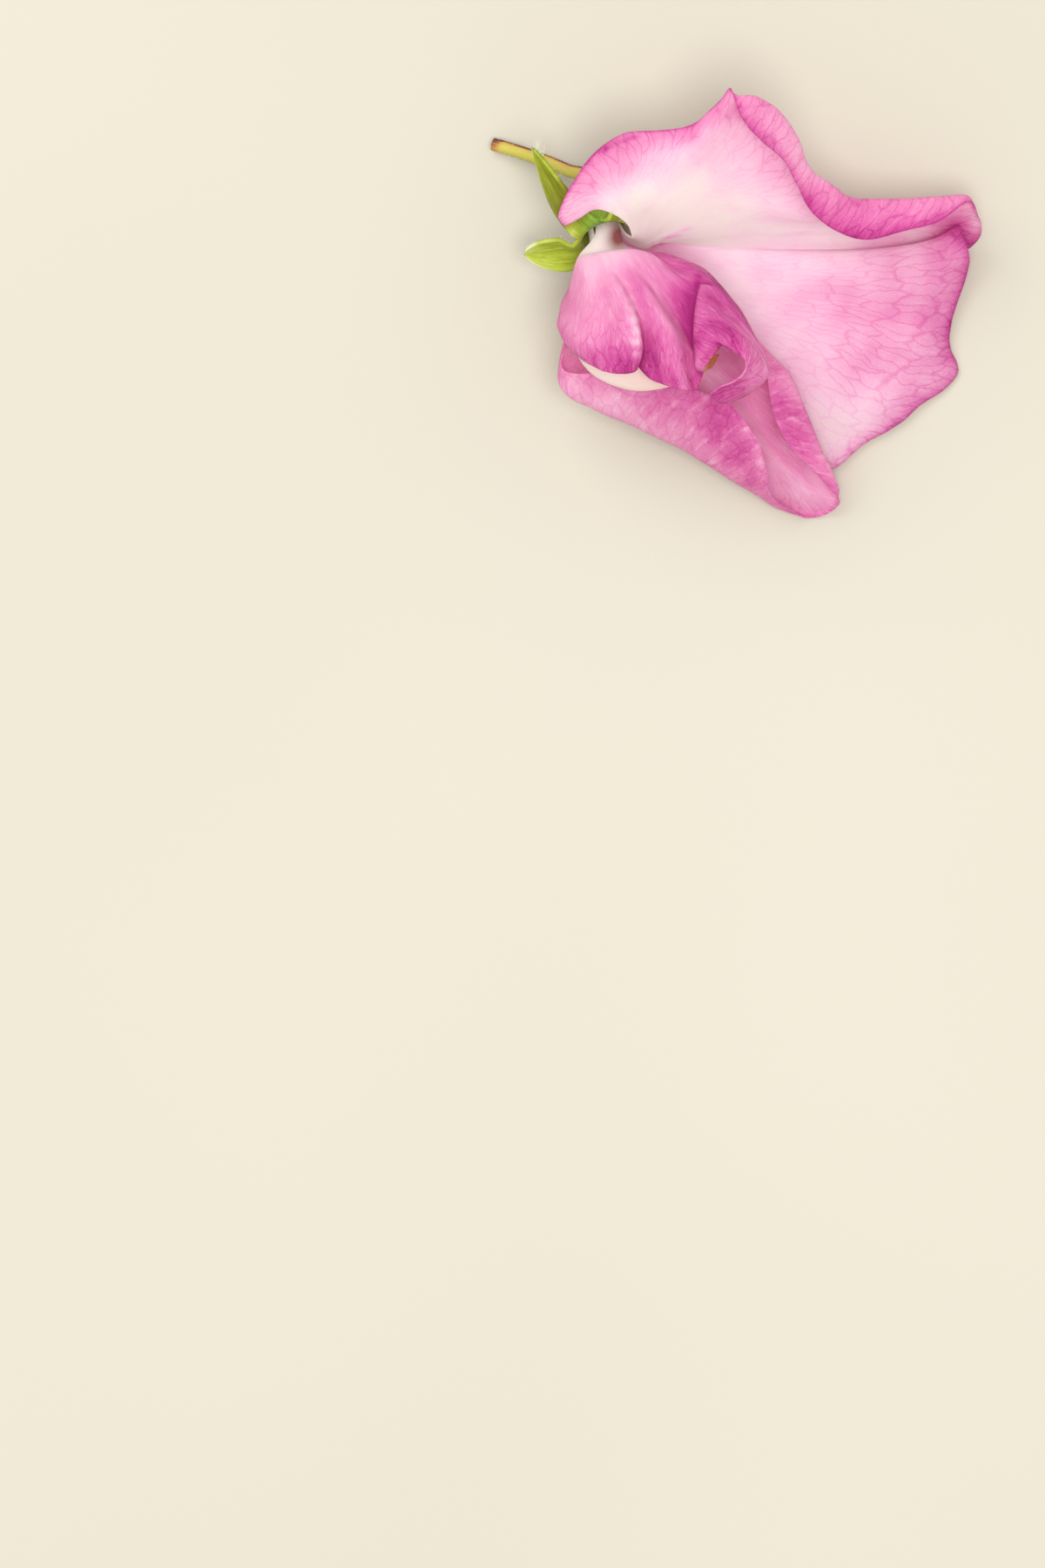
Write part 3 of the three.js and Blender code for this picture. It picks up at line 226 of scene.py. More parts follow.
# The keel from the calyx to its tip: a point of its outer line, one of its inner line, its half width,
# and the degrees it reaches round to each side
KEEL_SECTIONS = [
    [[-18, 4.4, 10.3], [-14.6, 4.9, 11.6], 1.35, 86],
    [[-18.6, 2, 10.7], [-14.4, 2.5, 12.8], 1.9, 140],
    [[-19.5, -3, 12.5], [-12.2, -1.5, 14.8], 2.1, 156],
    [[-17.8, -7.7, 14.4], [-9.6, -4, 16], 2.3, 158],
    [[-13.2, -9.95, 15.4], [-7.2, -5.2, 16.2], 2, 156],
    [[-8.3, -9.5, 15.9], [-5.2, -6, 16.4], 1.35, 152],
    [[-4.5, -7.8, 16.5], [-3.2, -6, 16.9], 0.8, 140],
]

# The lines of the stamens, the style past them and the stalk
COLUMN_PATH = [
    [-15.95, 5, 11], [-16.4, 2.3, 11.9], [-15.6, -2.4, 13.8], [-13.6, -5.4, 14.9], [-11.6, -6.9, 15.4],
]
STYLE_TIP = [[-9, -7.9, 15.8], [-6.4, -7.9, 16.2]]
STALK_PATH = [[-28, 16.8, 0.75], [-25, 15.9, 1.7], [-22, 14.8, 2.9], [-19.6, 13.8, 4.1]]

# A sepal leans from the calyx's axis by "start" degrees at the cup and by "reflex" past the bend, which
# takes "bend_share" of its length. Its blade twists, tapers and swells. "shade" changes its tone, and
# "crease" is how far the line down its middle is folded out.
SEPAL_KEYS = ["length", "start", "reflex", "bend_share", "twist", "taper", "swell", "shade", "crease"]
SEPALS = [dict(zip(SEPAL_KEYS, row)) for row in [
    [11.2, 117, 160, 0.6, 0, 0.85, 0.5, -0.36, 0.4],
    [7, 92, 118, 0.3, 34, 0.7, 1.5, 0, 0.12],
    [7.4, 80, 172, 0.35, 0, 0.85, 0.9, 0, 0.12],
    [6, 95, 175, 0.33, 0, 0.85, 0.6, -0.05, 0.12],
    [6, 95, 175, 0.33, 0, 0.85, 0.6, -0.05, 0.12],
]]

# How a petal looks. "per_rib" is how many points lie from one rib to the next, and "counts" how many steps
# from one row to the next. "blush" is its pinkness along the ribs, from 0 at the claw's base to 1 at the
# margin. Patches are pinker or paler than that: [x, y, radius, change] in the drawing, seen from above;
# some of them are painted light and painted shade, as told at each list. A tint of the claws' mauve is
# [x, y, radius, strength], and the tints end at a given place along the ribs; on the standard the tint is
# painted shade in the throat. The seen side is 1 when the face along the grid's normals is the one in
# view, and the reverse is the other face. A wedge adds pinkness along the ribs past "wedge_rib"; it also
# paints the shade in which the lower half's base lies under the throat's bulge.
STANDARD_LOOK = {
    "per_rib": 6,
    "counts": [6, 6, 5, 6, 12, 14, 10],
    "ruffle": 0.07,
    "seen_side": 1,
    "blush": [
        [0, 0], [0.43, 0], [0.57, 0.02], [0.66, 0.14], [0.75, 0.31], [0.86, 0.41], [0.96, 0.5], [1, 0.68],
    ],
    # Pinker tone on the lower half's base, which also paints the shade it lies in under the throat's bulge
    "wedge": [[0, 0.4], [0.3, 0.4], [0.43, 0.32], [0.5, 0.24], [0.6, 0.1], [0.7, 0], [1, 0]],
    "wedge_rib": 20.6,
    # Painted light and shade: the paler patches at (25.4, 8.4), (18, 7) and (10, 6.2) light the shade at
    # the lobe's tip and under the roll, those at (8, -15.5) and (13, -14) are painted light at the lower
    # margin, and the small dots from (-10.6, 5.9) to (-6.9, 7.4) are the painted shade of the crease under
    # the throat's bulge
    "patches": [
        [22.8, 7.2, 1.7, 0.3], [21.5, 5, 2.6, 0.16], [25.4, 8.4, 1.4, -0.4], [18, 7, 1.8, -0.25],
        [10, 6.2, 2.6, -0.16], [8, -15.5, 4.6, -0.34], [13, -14, 3, -0.14], [6, -0.3, 2.6, 0.12],
        [10, 0.2, 2.6, 0.12], [10, -3.5, 6, 0.09], [18, -2.5, 5, 0.09], [-1, 16, 4, 0.07],
        [-13.5, 14, 3.6, 0.1], [-6, 18, 3.2, 0.1], [-16.5, 11.3, 2.4, 0.04], [-20.2, 8.6, 1.8, -0.14],
        [-18.4, 10, 3, -0.06], [-16.3, 10.9, 1.8, 0.14], [-13.6, 13.6, 2.2, 0.12], [-15.8, 15.9, 0.3, 0.4],
        [-15, 16.4, 0.3, 0.3], [-14.4, 16.7, 0.3, 0.35], [-13.7, 16.9, 0.3, 0.3], [-13.1, 17.1, 0.3, 0.35],
        [-12.3, 17.3, 0.3, 0.2], [-10.6, 5.9, 0.3, 0.3], [-9.8, 6.1, 0.3, 0.35], [-9, 6.4, 0.3, 0.4],
        [-8.3, 6.7, 0.3, 0.4], [-7.6, 7.05, 0.3, 0.35], [-6.9, 7.4, 0.3, 0.25],
    ],
    "reverse_change": 0.12,
    "reverse_patches": [[14, 8.6, 6, 0.05], [4.5, 14.5, 5, -0.2]],
    # The tint here is painted shade: the claws' mauve laid faintly over the throat
    "mauve_and_shade": [[-12.2, 8.8, 2.9, 0.13]],
    "mauve_and_shade_end": 1.2,
}
WING_UPPER_LOOK = {
    "per_rib": 7,
    "counts": [5, 5, 4, 4, 8, 8, 8, 8],
    "ruffle": 0.05,
    "seen_side": -1,
    "blush": [[0, 0.02], [0.3, 0.04], [0.375, 0.36], [0.5, 0.52], [0.75, 0.62], [1, 0.7]],
    # Painted light and shade: the darker dots along x -6.3 from y -5 to -1 and along x -5.6 from y 1.3 to
    # 2.7 are the painted shade of the deep crease, the patches from (-3.5, 0.7) to (-0.6, -3) the painted
    # shade of the band beside it, and the paler dots from (-13, -0.5) to (-12.5, -6.4) a painted highlight
    # along the left lobe's raised edge
    "patches": [
        [-12, -7.5, 3.6, 0.24], [-17.5, -1.5, 4.2, -0.16], [-4.5, -1.5, 3.4, 0.3], [-6.4, -5, 1.6, 0.2],
        [-10, 2, 3.2, 0.2], [-15.6, 3.6, 2.2, -0.16], [-2, -4.5, 2.5, 0.06], [-6.2, -1, 0.6, 0.06],
        [-6.3, -3, 0.7, 0.06], [-6.3, -5, 0.7, 0.1], [-3.5, 0.7, 1.5, 0.2], [-1.9, -1.2, 1.4, 0.18],
        [-0.6, -3, 1.2, 0.15], [-5.7, 1.3, 0.4, 0.2], [-5.6, 2, 0.4, 0.2], [-5.5, 2.7, 0.35, 0.15],
        [-13, -0.5, 0.5, -0.25], [-12.7, -1.6, 0.5, -0.35], [-12.5, -2.8, 0.5, -0.45],
        [-12.4, -4, 0.45, -0.5], [-12.4, -5.2, 0.45, -0.5], [-12.5, -6.4, 0.45, -0.4],
    ],
    "reverse_change": -0.05,
    "reverse_patches": [[-1.5, -7.5, 2.6, -0.3]],
    "mauve_and_shade": [[-14.3, 6.9, 1.1, 0.8], [-14.4, 5.8, 1.1, 0.8]],
    "mauve_and_shade_end": 0.39,
}
WING_LOWER_LOOK = {
    "per_rib": 7,
    "counts": [5, 5, 8, 12, 10, 10],
    "ruffle": 0.05,
    "seen_side": -1,
    "blush": [[0, 0.02], [0.3, 0.1], [0.5, 0.46], [0.8, 0.52], [1, 0.62]],
    # Painted light: the paler patches at (-3.6, -8.3) and (1, -14.5) light the parts that lie in the shade
    # of the upper wing
    "patches": [
        [-3, -15, 3.5, 0.05], [5.5, -14.5, 3, 0.18], [-16, -10.5, 4, -0.2], [4, -20, 3, -0.1],
        [-8, -13, 3, -0.04], [1, -14.5, 2, -0.12], [-3.6, -8.3, 2.2, -0.22], [-3.2, -15.2, 1.2, 0.12],
        [-1.9, -17.8, 1.2, 0.16], [-0.4, -20.2, 1.1, 0.18], [3, -17, 2, -0.12],
    ],
    "reverse_change": -0.12,
    "reverse_patches": [],
    "mauve_and_shade": [],
    "mauve_and_shade_end": 0,
}
KEEL_BLUSH = [[0, 0], [0.6, 0.05], [0.85, 0.2], [1, 0.45]]
KEEL_PATCHES = [[-3.6, -7, 2.2, 0.35]]

# Which way the first sepal's tip points, with its tuft of long hairs
SEPAL_TIP_RISE = np.array([0.05, 1, 0.1])

# The calyx's bright green rim is a painted highlight where its edge catches the light. The patches are
# paler
# spots: those at (-13.3, 7.2) and (-17.3, 5.9) are painted light in the shaded gaps beside the claws.
CALYX_RIM_HIGHLIGHT = [[-16.7, 8.6, 1.2, 0.9], [-17.6, 7.4, 0.9, 0.5]]
CALYX_PALE_SPOTS_AND_LIGHT = [[-19.5, 6.9, 0.7, 0.5], [-13.3, 7.2, 1.1, 0.6], [-17.3, 5.9, 0.9, 0.4]]

# Colours by tone
PETAL_COLOURS = [
    (0, "f8f1ed"), (0.14, "f9e4ee"), (0.3, "f8cde5"), (0.47, "eea1cd"), (0.62, "e27dbb"),
    (0.78, "d257a5"), (1, "b02a83"),
]
KEEL_COLOURS = [(0, "fdf7f2"), (0.2, "fcebe4"), (0.45, "edbf94"), (0.8, "c98250"), (1, "a05a34")]
CALYX_COLOURS = [(0, "747612"), (0.25, "8b911a"), (0.5, "a5b433"), (0.75, "c4ce66"), (1, "eceecb")]
STALK_COLOURS = [(0, "a3a630"), (0.4, "b9b04e"), (0.65, "b8964a"), (0.85, "9c5f3a"), (1, "4e2c16")]
ORGAN_COLOURS = [(0, "dcd08a"), (0.5, "efe9bd"), (1, "f7f2d8")]
PISTIL_COLOURS = [(0, "8fae4c"), (0.5, "bccf86"), (1, "dfe7b4")]
HAIR_COLOURS = [(0, "cfd6a8"), (0.5, "e6ead0"), (1, "f6f7ea")]
FLOOR_COLOURS = [(0.3, "b8b4a5"), (0.7, "bdb9ab")]
# The claws' mauve; faint in the standard's throat, where it is painted shade
CLAW_MAUVE_AND_SHADE = "a45f5c"
PETAL_GLOW = 0.52


def unit(vector):
    return vector / np.linalg.norm(vector, axis=-1, keepdims=True)


def wave(x):
    """A smooth step from 0 to 1 as x goes from 0 to 1."""
    x = np.clip(x, 0, 1)
    return x * x * (3 - 2 * x)


def tube_point(angle, radius, depth):
    """Points of the calyx tube, by angle from the standard's side, radius and depth."""
    turn = np.radians(np.asarray(angle, float))[..., None]
    radius = np.asarray(radius, float)[..., None]
    depth = np.asarray(depth, float)[..., None]
    ray = unit(STANDARD_SIDE) * np.cos(turn) + unit(UPPER_SIDE) * np.sin(turn)
    return MOUTH + unit(FORWARD) * depth + ray * radius


def smooth_at(knots, values, at):
    """The smooth curve that passes through `values` at `knots`, read at the positions `at`."""
    knots = np.asarray(knots, float)
    values = np.asarray(values, float)
    at = np.asarray(at, float)
    steps = np.diff(knots)[:, None]
    rates = np.diff(values, axis=0) / steps
    slopes = np.empty_like(values)
    slopes[0] = rates[0]
    slopes[-1] = rates[-1]
    slopes[1:-1] = (rates[:-1] * steps[1:] + rates[1:] * steps[:-1]) / (steps[:-1] + steps[1:])
    i = np.clip(np.searchsorted(knots, at, side="right") - 1, 0, len(knots) - 2)
    span = (knots[i + 1] - knots[i])[:, None]
    u = (at - knots[i])[:, None] / span
    a, b = values[i], values[i + 1]
    leave, arrive = slopes[i] * span, slopes[i + 1] * span
    cubic = 2 * a - 2 * b + leave + arrive
    square = 3 * (b - a) - 2 * leave - arrive
    return ((cubic * u + square) * u + leave) * u + a


def in_steps(knots, counts):
    """Positions from the first knot to the last, with counts[j] even steps past knot j."""
    steps = [np.linspace(knots[j], knots[j + 1], n, endpoint=False) for j, n in enumerate(counts)]
    return np.concatenate([*steps, [knots[-1]]])


def along_line(points, counts):
    """Points along the smooth line through `points`, with counts[j] steps past point j."""
    points = np.asarray(points, float)
    gaps = np.linalg.norm(np.diff(points, axis=0), axis=1)
    knots = np.concatenate([[0], np.cumsum(np.sqrt(gaps) + 1e-6)])
    return smooth_at(knots, points, in_steps(knots, counts))


def read(table, at):
    """A table of [position, value] rows, read smoothly."""
    table = np.array(table, float)
    at = np.asarray(at, float)
    return smooth_at(table[:, 0], table[:, 1:], at.ravel())[:, 0].reshape(at.shape)


def grid_normals(grid, passes=2):
    """Directions across the ribs and rows of a grid of points."""
    normals = np.cross(np.gradient(grid, axis=1), np.gradient(grid, axis=0))
    normals /= np.linalg.norm(normals, axis=-1, keepdims=True) + 1e-9
    for _ in range(passes):
        around = np.pad(normals, ((1, 1), (1, 1), (0, 0)), mode="edge")
        beside = around[:-2, 1:-1] + around[2:, 1:-1] + around[1:-1, :-2] + around[1:-1, 2:]
        normals = beside + 2 * normals
        normals /= np.linalg.norm(normals, axis=-1, keepdims=True) + 1e-9
    return normals


def grid_faces(rows, columns):
    index = np.arange(rows * columns).reshape(rows, columns)
    corners = [index[:-1, :-1], index[:-1, 1:], index[1:, 1:], index[1:, :-1]]
    return np.stack([c.ravel() for c in corners], axis=1).tolist()


def sheet_normals(points, faces, passes=3):
    """Smoothed directions across an open sheet of faces."""
    normals = np.zeros_like(points)
    for face in faces:
        a, b, c = points[face[0]], points[face[1]], points[face[2]]
        normal = np.cross(b - a, c - a)
        for corner in face:
            normals[corner] += normal
    normals = normals / (np.linalg.norm(normals, axis=1, keepdims=True) + 1e-12)
    for _ in range(passes):
        spread = normals.copy()
        for face in faces:
            total = normals[face].sum(axis=0)
            for corner in face:
                spread[corner] += total
        normals = spread / (np.linalg.norm(spread, axis=1, keepdims=True) + 1e-12)
    return normals


def thicken(points, faces, normals, thickness):
    """A closed blade round an open sheet. The first half of its vertices is the face along the normals."""
    count = len(points)
    offset = normals * (np.asarray(thickness, float) / 2).reshape(-1, 1)
    edges = {}
    for face in faces:
        for start, end in zip(face, face[1:] + face[:1]):
            if edges.pop((end, start), None) is None:
                edges[start, end] = True
    backs = [[corner + count for corner in reversed(face)] for face in faces]
    walls = [[start, start + count, end + count, end] for start, end in edges]
    return np.concatenate([points + offset, points - offset]), faces + backs + walls


def thick_grid(grid, faces, normals, thickness):
    return thicken(grid.reshape(-1, 3), faces, normals.reshape(-1, 3), thickness)


def twice(values):
    """The values of a sheet's points, for both faces of its blade."""
    return np.concatenate([values, values])


def build(name, points, faces, material, nodes, facts, smooth=True):
    """One piece of the scene from points in the drawing's millimetres, with its painted facts."""
    mesh = bpy.data.meshes.new(name)
    mesh.from_pydata((points - ORIGIN) * MM, [], faces)
    mesh.update()
    for key, values in facts.items():
        values = np.asarray(values, np.float32)
        kind, field = ("FLOAT", "value") if values.ndim == 1 else ("FLOAT_VECTOR", "vector")
        mesh.attributes.new(key, kind, "POINT").data.foreach_set(field, values.ravel())
    if smooth:
        mesh.shade_smooth()
    else:
        mesh.shade_flat()
    mesh.materials.append(material)
    piece = bpy.data.objects.new(name, mesh)
    bpy.context.scene.collection.objects.link(piece)
    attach(piece, "root")
    if nodes:
        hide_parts(*nodes)


def petal_grid(table, per_rib, counts):
    """Rows of points from the claw's base to the margin, each column's rib and each row's place."""
    rows = [np.array(row, float) for row in table["rows"]]
    last_rib = rows[0][-1, 0]
    ribs = np.linspace(0, last_rib, int(last_rib * per_rib) + 1)
    angles = read(table["claw_angles"], ribs)
    radius = np.full_like(ribs, table["claw_radius"])
    base = tube_point(angles, radius * CLAW_BASE_SHARE, np.full_like(ribs, CLAW_BASE_DEPTH))
    mouth = tube_point(angles, radius, np.full_like(ribs, CLAW_EXIT_DEPTH))
    ladder = np.stack([base, mouth, *(smooth_at(row[:, 0], row[:, 1:], ribs) for row in rows)])
    grid = np.stack([along_line(ladder[:, j], counts) for j in range(len(ribs))], axis=1)
    place = in_steps(range(len(counts) + 1), counts) / len(counts)
    return grid, ribs, place


def ruffle(grid, ribs, place, height):
    """Lets the petal wave along its normals, more and more towards the margin."""
    phases = RANDOM.uniform(0, 2 * math.pi, len(RUFFLE_RATES))
    waves = sum(
        np.sin(ribs * rate + phase) * share
        for rate, phase, share in zip(RUFFLE_RATES, phases, RUFFLE_SHARES)
    )
    rise = wave((place - RUFFLE_START) / (1 - RUFFLE_START))
    swell = rise[:, None] * waves[None, :] * height
    return grid + grid_normals(grid) * swell[:, :, None]


def hollowness(grid, normals, reach=3):
    """How much each point lies in a fold, from -1 on a ridge to 1 in a crease, seen along the normals."""
    around = np.pad(grid, ((reach, reach), (reach, reach), (0, 0)), mode="edge")
    size = 2 * reach
    middle = (around[size:, reach:-reach] + around[:-size, reach:-reach]) / 2
    middle = (middle + (around[reach:-reach, size:] + around[reach:-reach, :-size]) / 2) / 2
    return np.clip(((middle - grid) * normals).sum(axis=-1) / FOLD_DEPTH, -1, 1)


def patches_at(patches, x, y):
    change = np.zeros_like(x)
    for px, py, radius, amount in patches:
        change += amount * np.exp(-((x - px) ** 2 + (y - py) ** 2) / radius ** 2)
    return change


def along_ribs(grid):
    """The millimetres along each rib from the grid's first row."""
    steps = np.linalg.norm(np.diff(grid, axis=0), axis=-1)
    return np.concatenate([np.zeros((1, grid.shape[1])), steps.cumsum(axis=0)])


def rib_grain(ribs, lengths):
    """The grain of a petal's points: the rib, and the millimetres along it."""
    return np.stack([np.broadcast_to(ribs, lengths.shape), lengths, np.zeros_like(lengths)], axis=-1)


def petal(name, table, look, material):
    """Builds a petal. Its facts are grain (rib, millimetres along it), tone, place, fold and a mauve tint.

    The fold paints shade into creases and light onto ridges; the tint is the claws' mauve, and painted
    shade in the standard's throat.
    """
    grid, ribs, place = petal_grid(table, look["per_rib"], look["counts"])
    grid = ruffle(grid, ribs, place, look["ruffle"])
    normals = grid_normals(grid)
    lengths = along_ribs(grid)
    from_margin = lengths[-1] - lengths
    from_side = np.minimum(ribs, ribs[-1] - ribs)[None, :] * RIB_WIDTH
    inside = wave(np.minimum(from_margin, from_side) / MARGIN_WIDTH)
    thickness = MARGIN_THICKNESS + (PETAL_THICKNESS - MARGIN_THICKNESS) * inside
    points, faces = thick_grid(grid, grid_faces(*lengths.shape), normals, thickness)
    tone = np.broadcast_to(read(look["blush"], place)[:, None], lengths.shape)
    # The wedge's pink, partly painted shade under the throat's bulge
    if "wedge" in look:
        wedge_share = wave((ribs - look["wedge_rib"]) / 0.5)
        tone = tone + read(look["wedge"], place)[:, None] * wedge_share[None, :]
    x, y = grid[..., 0], grid[..., 1]
    front = tone + patches_at(look["patches"], x, y)
    back = tone + look["reverse_change"] + patches_at(look["reverse_patches"], x, y)
    # Where the claws' mauve goes; in the standard's throat it is painted shade
    tint_and_painted_light = patches_at(look["mauve_and_shade"], x, y) * wave((look["mauve_and_shade_end"] - place) / 0.04)[:, None]
    fold = hollowness(grid, normals).ravel()
    both = [front, back] if look["seen_side"] > 0 else [back, front]
    facts = {
        "grain": twice(rib_grain(ribs, lengths).reshape(-1, 3)),
        "tone": np.concatenate([side.ravel() for side in both]),
        "place": twice(np.broadcast_to(place[:, None], lengths.shape).ravel()),
        "fold": np.concatenate([fold, -fold]),
        "tint_and_painted_light": twice(tint_and_painted_light.ravel()),
    }
    build(name, points, faces, material, [name], facts)


def linear(code):
    """A colour given as the usual six hex digits, as scene-linear numbers."""
    parts = [int(code[i:i + 2], 16) / 255 for i in (0, 2, 4)]
    return [p / 12.92 if p <= 0.04045 else ((p + 0.055) / 1.055) ** 2.4 for p in parts] + [1]


class Graph:
    """A material's node tree, built node by node."""

    def __init__(self, name):
        self.material = bpy.data.materials.new(name)
        self.material.use_nodes = True
        self.tree = self.material.node_tree
        self.tree.nodes.clear()

    def node(self, kind, inputs, **settings):
        made = self.tree.nodes.new("ShaderNode" + kind)
        for key, value in settings.items():
            setattr(made, key, value)
        for key, value in inputs.items():
            socket = made.inputs[key]
            if isinstance(value, bpy.types.NodeSocket):
                self.tree.links.new(value, socket)
            else:
                socket.default_value = value
        return made

    def fact(self, key, field="Fac"):
        return self.node("Attribute", {}, attribute_name=key).outputs[field]

    def multiply(self, a, b):
        return self.node("Math", {0: a, 1: b}, operation="MULTIPLY").outputs[0]

    def add(self, base, amount, strength):
        """The base plus the amount times its strength."""
        return self.node("Math", {0: amount, 1: strength, 2: base}, operation="MULTIPLY_ADD").outputs[0]

    def vary(self, base, noise, strength):
        """The base raised and lowered by a noise, whose middle is 0.5."""
        middled = self.node("Math", {0: noise, 1: 0.5}, operation="SUBTRACT").outputs[0]
        return self.add(base, middled, strength)

    def vector(self, operation, vector, other):
        return self.node("VectorMath", {0: vector, 1: other}, operation=operation).outputs[0]

    def noise(self, vector, scale, detail, rough=0.5, output="Fac"):
        settings = {"Vector": vector, "Scale": scale, "Detail": detail, "Roughness": rough}
        return self.node("TexNoise", settings).outputs[output]

    def grain_noise(self, grain, across, along, detail, rough=0.5):
        """A noise that is drawn out along the grain."""
        return self.noise(self.vector("MULTIPLY", grain, (across, along, 0.0)), 1.0, detail, rough)

    def range(self, value, low, high, to_low=0.0, to_high=1.0):
        settings = {"Value": value, "From Min": low, "From Max": high, "To Min": to_low, "To Max": to_high}
        return self.node("MapRange", settings, interpolation_type="SMOOTHSTEP").outputs[0]

    def ramp(self, value, stops):
        made = self.node("ValToRGB", {"Fac": value})
        elements = made.color_ramp.elements
        while len(elements) < len(stops):
            elements.new(0.5)
        for element, (position, code) in zip(elements, stops):
            element.position = position
            element.color = linear(code)
        return made.outputs["Color"]

    def blend(self, share, colour, code):
        """A colour that turns into the one of the code where the share is 1."""
        return self.node("Mix", {0: share, 6: colour, 7: linear(code)}, data_type="RGBA").outputs[2]

    def finish(self, shader):
        self.node("OutputMaterial", {"Surface": shader})
        return self.material

    def tissue(self, colour, height, bump, roughness, sheen, through):
        """Plant tissue with a soft sheen, which lets a share of the light through."""
        relief = {"Strength": bump[0], "Distance": bump[1], "Height": height}
        normal = self.node("Bump", relief).outputs["Normal"]
        surface = self.node("BsdfPrincipled", {
            "Base Color": colour, "Roughness": roughness, "Specular IOR Level": 0.25,
            "Sheen Weight": sheen[0], "Sheen Roughness": sheen[1], "Normal": normal,
        }).outputs["BSDF"]
        glow = self.node("BsdfTranslucent", {"Color": colour, "Normal": normal}).outputs["BSDF"]
        return self.finish(self.node("MixShader", {0: through, 1: surface, 2: glow}).outputs[0])


def vein_lines(graph, grain, cells, length, width):
    """A net of veins drawn out along the ribs, by cells to a rib and a cell's length in millimetres."""
    warp = graph.noise(grain, 0.55, 2.0, output="Color")
    warp = graph.vector("SUBTRACT", warp, (0.5, 0.5, 0.5))
    warp = graph.vector("MULTIPLY", warp, (0.4, 1.6, 0.0))
    moved = graph.vector("ADD", grain, warp)
    laid = graph.vector("MULTIPLY", moved, (cells, 1 / length, 0.0))
    settings = {"Vector": laid, "Scale": 1.0, "Randomness": 0.95}
    cell = graph.node("TexVoronoi", settings, feature="DISTANCE_TO_EDGE", voronoi_dimensions="2D")
    return graph.range(cell.outputs["Distance"], 0.0, width, 1.0, 0.0)


def petal_material(name, colours, tint_and_painted_light, cells, length, veins, streaks, streak_size, folds):
    """Petal tissue: colour by tone, a net of veins, whitish streaks along the ribs and a soft sheen.

    Cells and length are those of the net. Veins, streaks and folds say how much each changes the tone. The
    streaks are a painted sheen; the folds paint shade into the creases and light onto the ridges. The tint
    colour is the claws' mauve, which is also painted shade in the standard's throat.
    """
    graph = Graph(name)
    grain = graph.fact("grain", "Vector")
    place = graph.fact("place")
    base = graph.fact("tone")
    main_net = vein_lines(graph, grain, cells, length, 0.11)
    fine_net = vein_lines(graph, grain, cells * 2, length * 0.4, 0.12)
    streak_noise = graph.range(graph.grain_noise(grain, *streak_size, 4.0, 0.65), 0.46, 0.8)
    clouds = graph.grain_noise(grain, 0.5, 0.28, 3.0)
    grains = graph.grain_noise(grain, 14.0, 6.0, 2.0)
    tone = graph.add(base, graph.multiply(main_net, graph.range(place, 0.4, 0.85)), veins)
    tone = graph.add(tone, graph.multiply(fine_net, graph.range(place, 0.75, 0.98)), veins * 0.7)
    # Painted sheen: whitish streaks along the ribs
    tone = graph.add(tone, graph.multiply(streak_noise, base), -streaks)
    tone = graph.vary(tone, clouds, 0.28)
    tone = graph.vary(tone, grains, 0.17)
    # Painted shade in the creases and painted light on the ridges, by the fold fact
    tone = graph.add(tone, graph.multiply(graph.fact("fold"), base), folds)
    # The claws' mauve where the tint fact says; in the standard's throat it is painted shade
    colour = graph.blend(graph.fact("tint_and_painted_light"), graph.ramp(tone, colours), tint_and_painted_light)
    height = graph.add(graph.multiply(grains, 0.5), main_net, -0.5)
    return graph.tissue(colour, height, (0.35, 0.00006), 0.6, (0.1, 0.45), PETAL_GLOW)


def leaf_material(name, colours, tint_and_painted_light, through):
    """Green tissue with long faint ribs: colour by tone, and a tint of another colour.

    On the calyx the tint is a painted highlight along its rim.
    """
    graph = Graph(name)
    grain = graph.fact("grain", "Vector")
    ribs = graph.grain_noise(grain, 5.0, 0.35, 3.0)
    clouds = graph.grain_noise(grain, 0.8, 0.5, 3.0)
    grains = graph.grain_noise(grain, 9.0, 7.0, 2.0)
    tone = graph.vary(graph.fact("tone"), ribs, 0.7)
    tone = graph.vary(tone, clouds, 0.5)
    tone = graph.vary(tone, grains, 0.25)
    colour = graph.blend(graph.fact("tint_and_painted_light"), graph.ramp(tone, colours), tint_and_painted_light)
    height = graph.add(graph.multiply(grains, 0.4), ribs, 0.7)
    return graph.tissue(colour, height, (0.5, 0.0001), 0.55, (0.08, 0.4), through)


class Sheet:
    """An open sheet of faces that grows row by row, with the grain and the tone of each point."""

    def __init__(self):
        self.points, self.grain, self.tone, self.faces = [], [], [], []

    def add(self, point, angle, height, tone):
        """Adds a point and returns its number. Its grain is its angle and height on the calyx."""
        self.points.append(point)
        self.grain.append([angle / DEGREES_PER_RIB, height, 0])
        self.tone.append(tone)
        return len(self.points) - 1


def calyx_cup(sheet):
    """The cup from the middle of its foot to the rim. Returns the rim's points."""
    around = len(SEPALS) * SEPAL_COLUMNS
    angles = FIRST_SEPAL_ANGLE - 180 / len(SEPALS) + np.arange(around) * 360 / around
    foot = sheet.add(tube_point(0, 0, -CALYX_DEPTH), 0, 0, 0.35)
    below = []
    for depth, radius in along_line(CUP_PROFILE, [3] * (len(CUP_PROFILE) - 1)):
        height = depth + CALYX_DEPTH
        here = [sheet.add(tube_point(a, radius, depth), a, height, 0.3 + 0.03 * height) for a in angles]
        for k in range(around):
            after = (k + 1) % around
            inner = [below[k], below[after]] if below else [foot]
            sheet.faces.append([*inner, here[after], here[k]])
        below = here
    return below


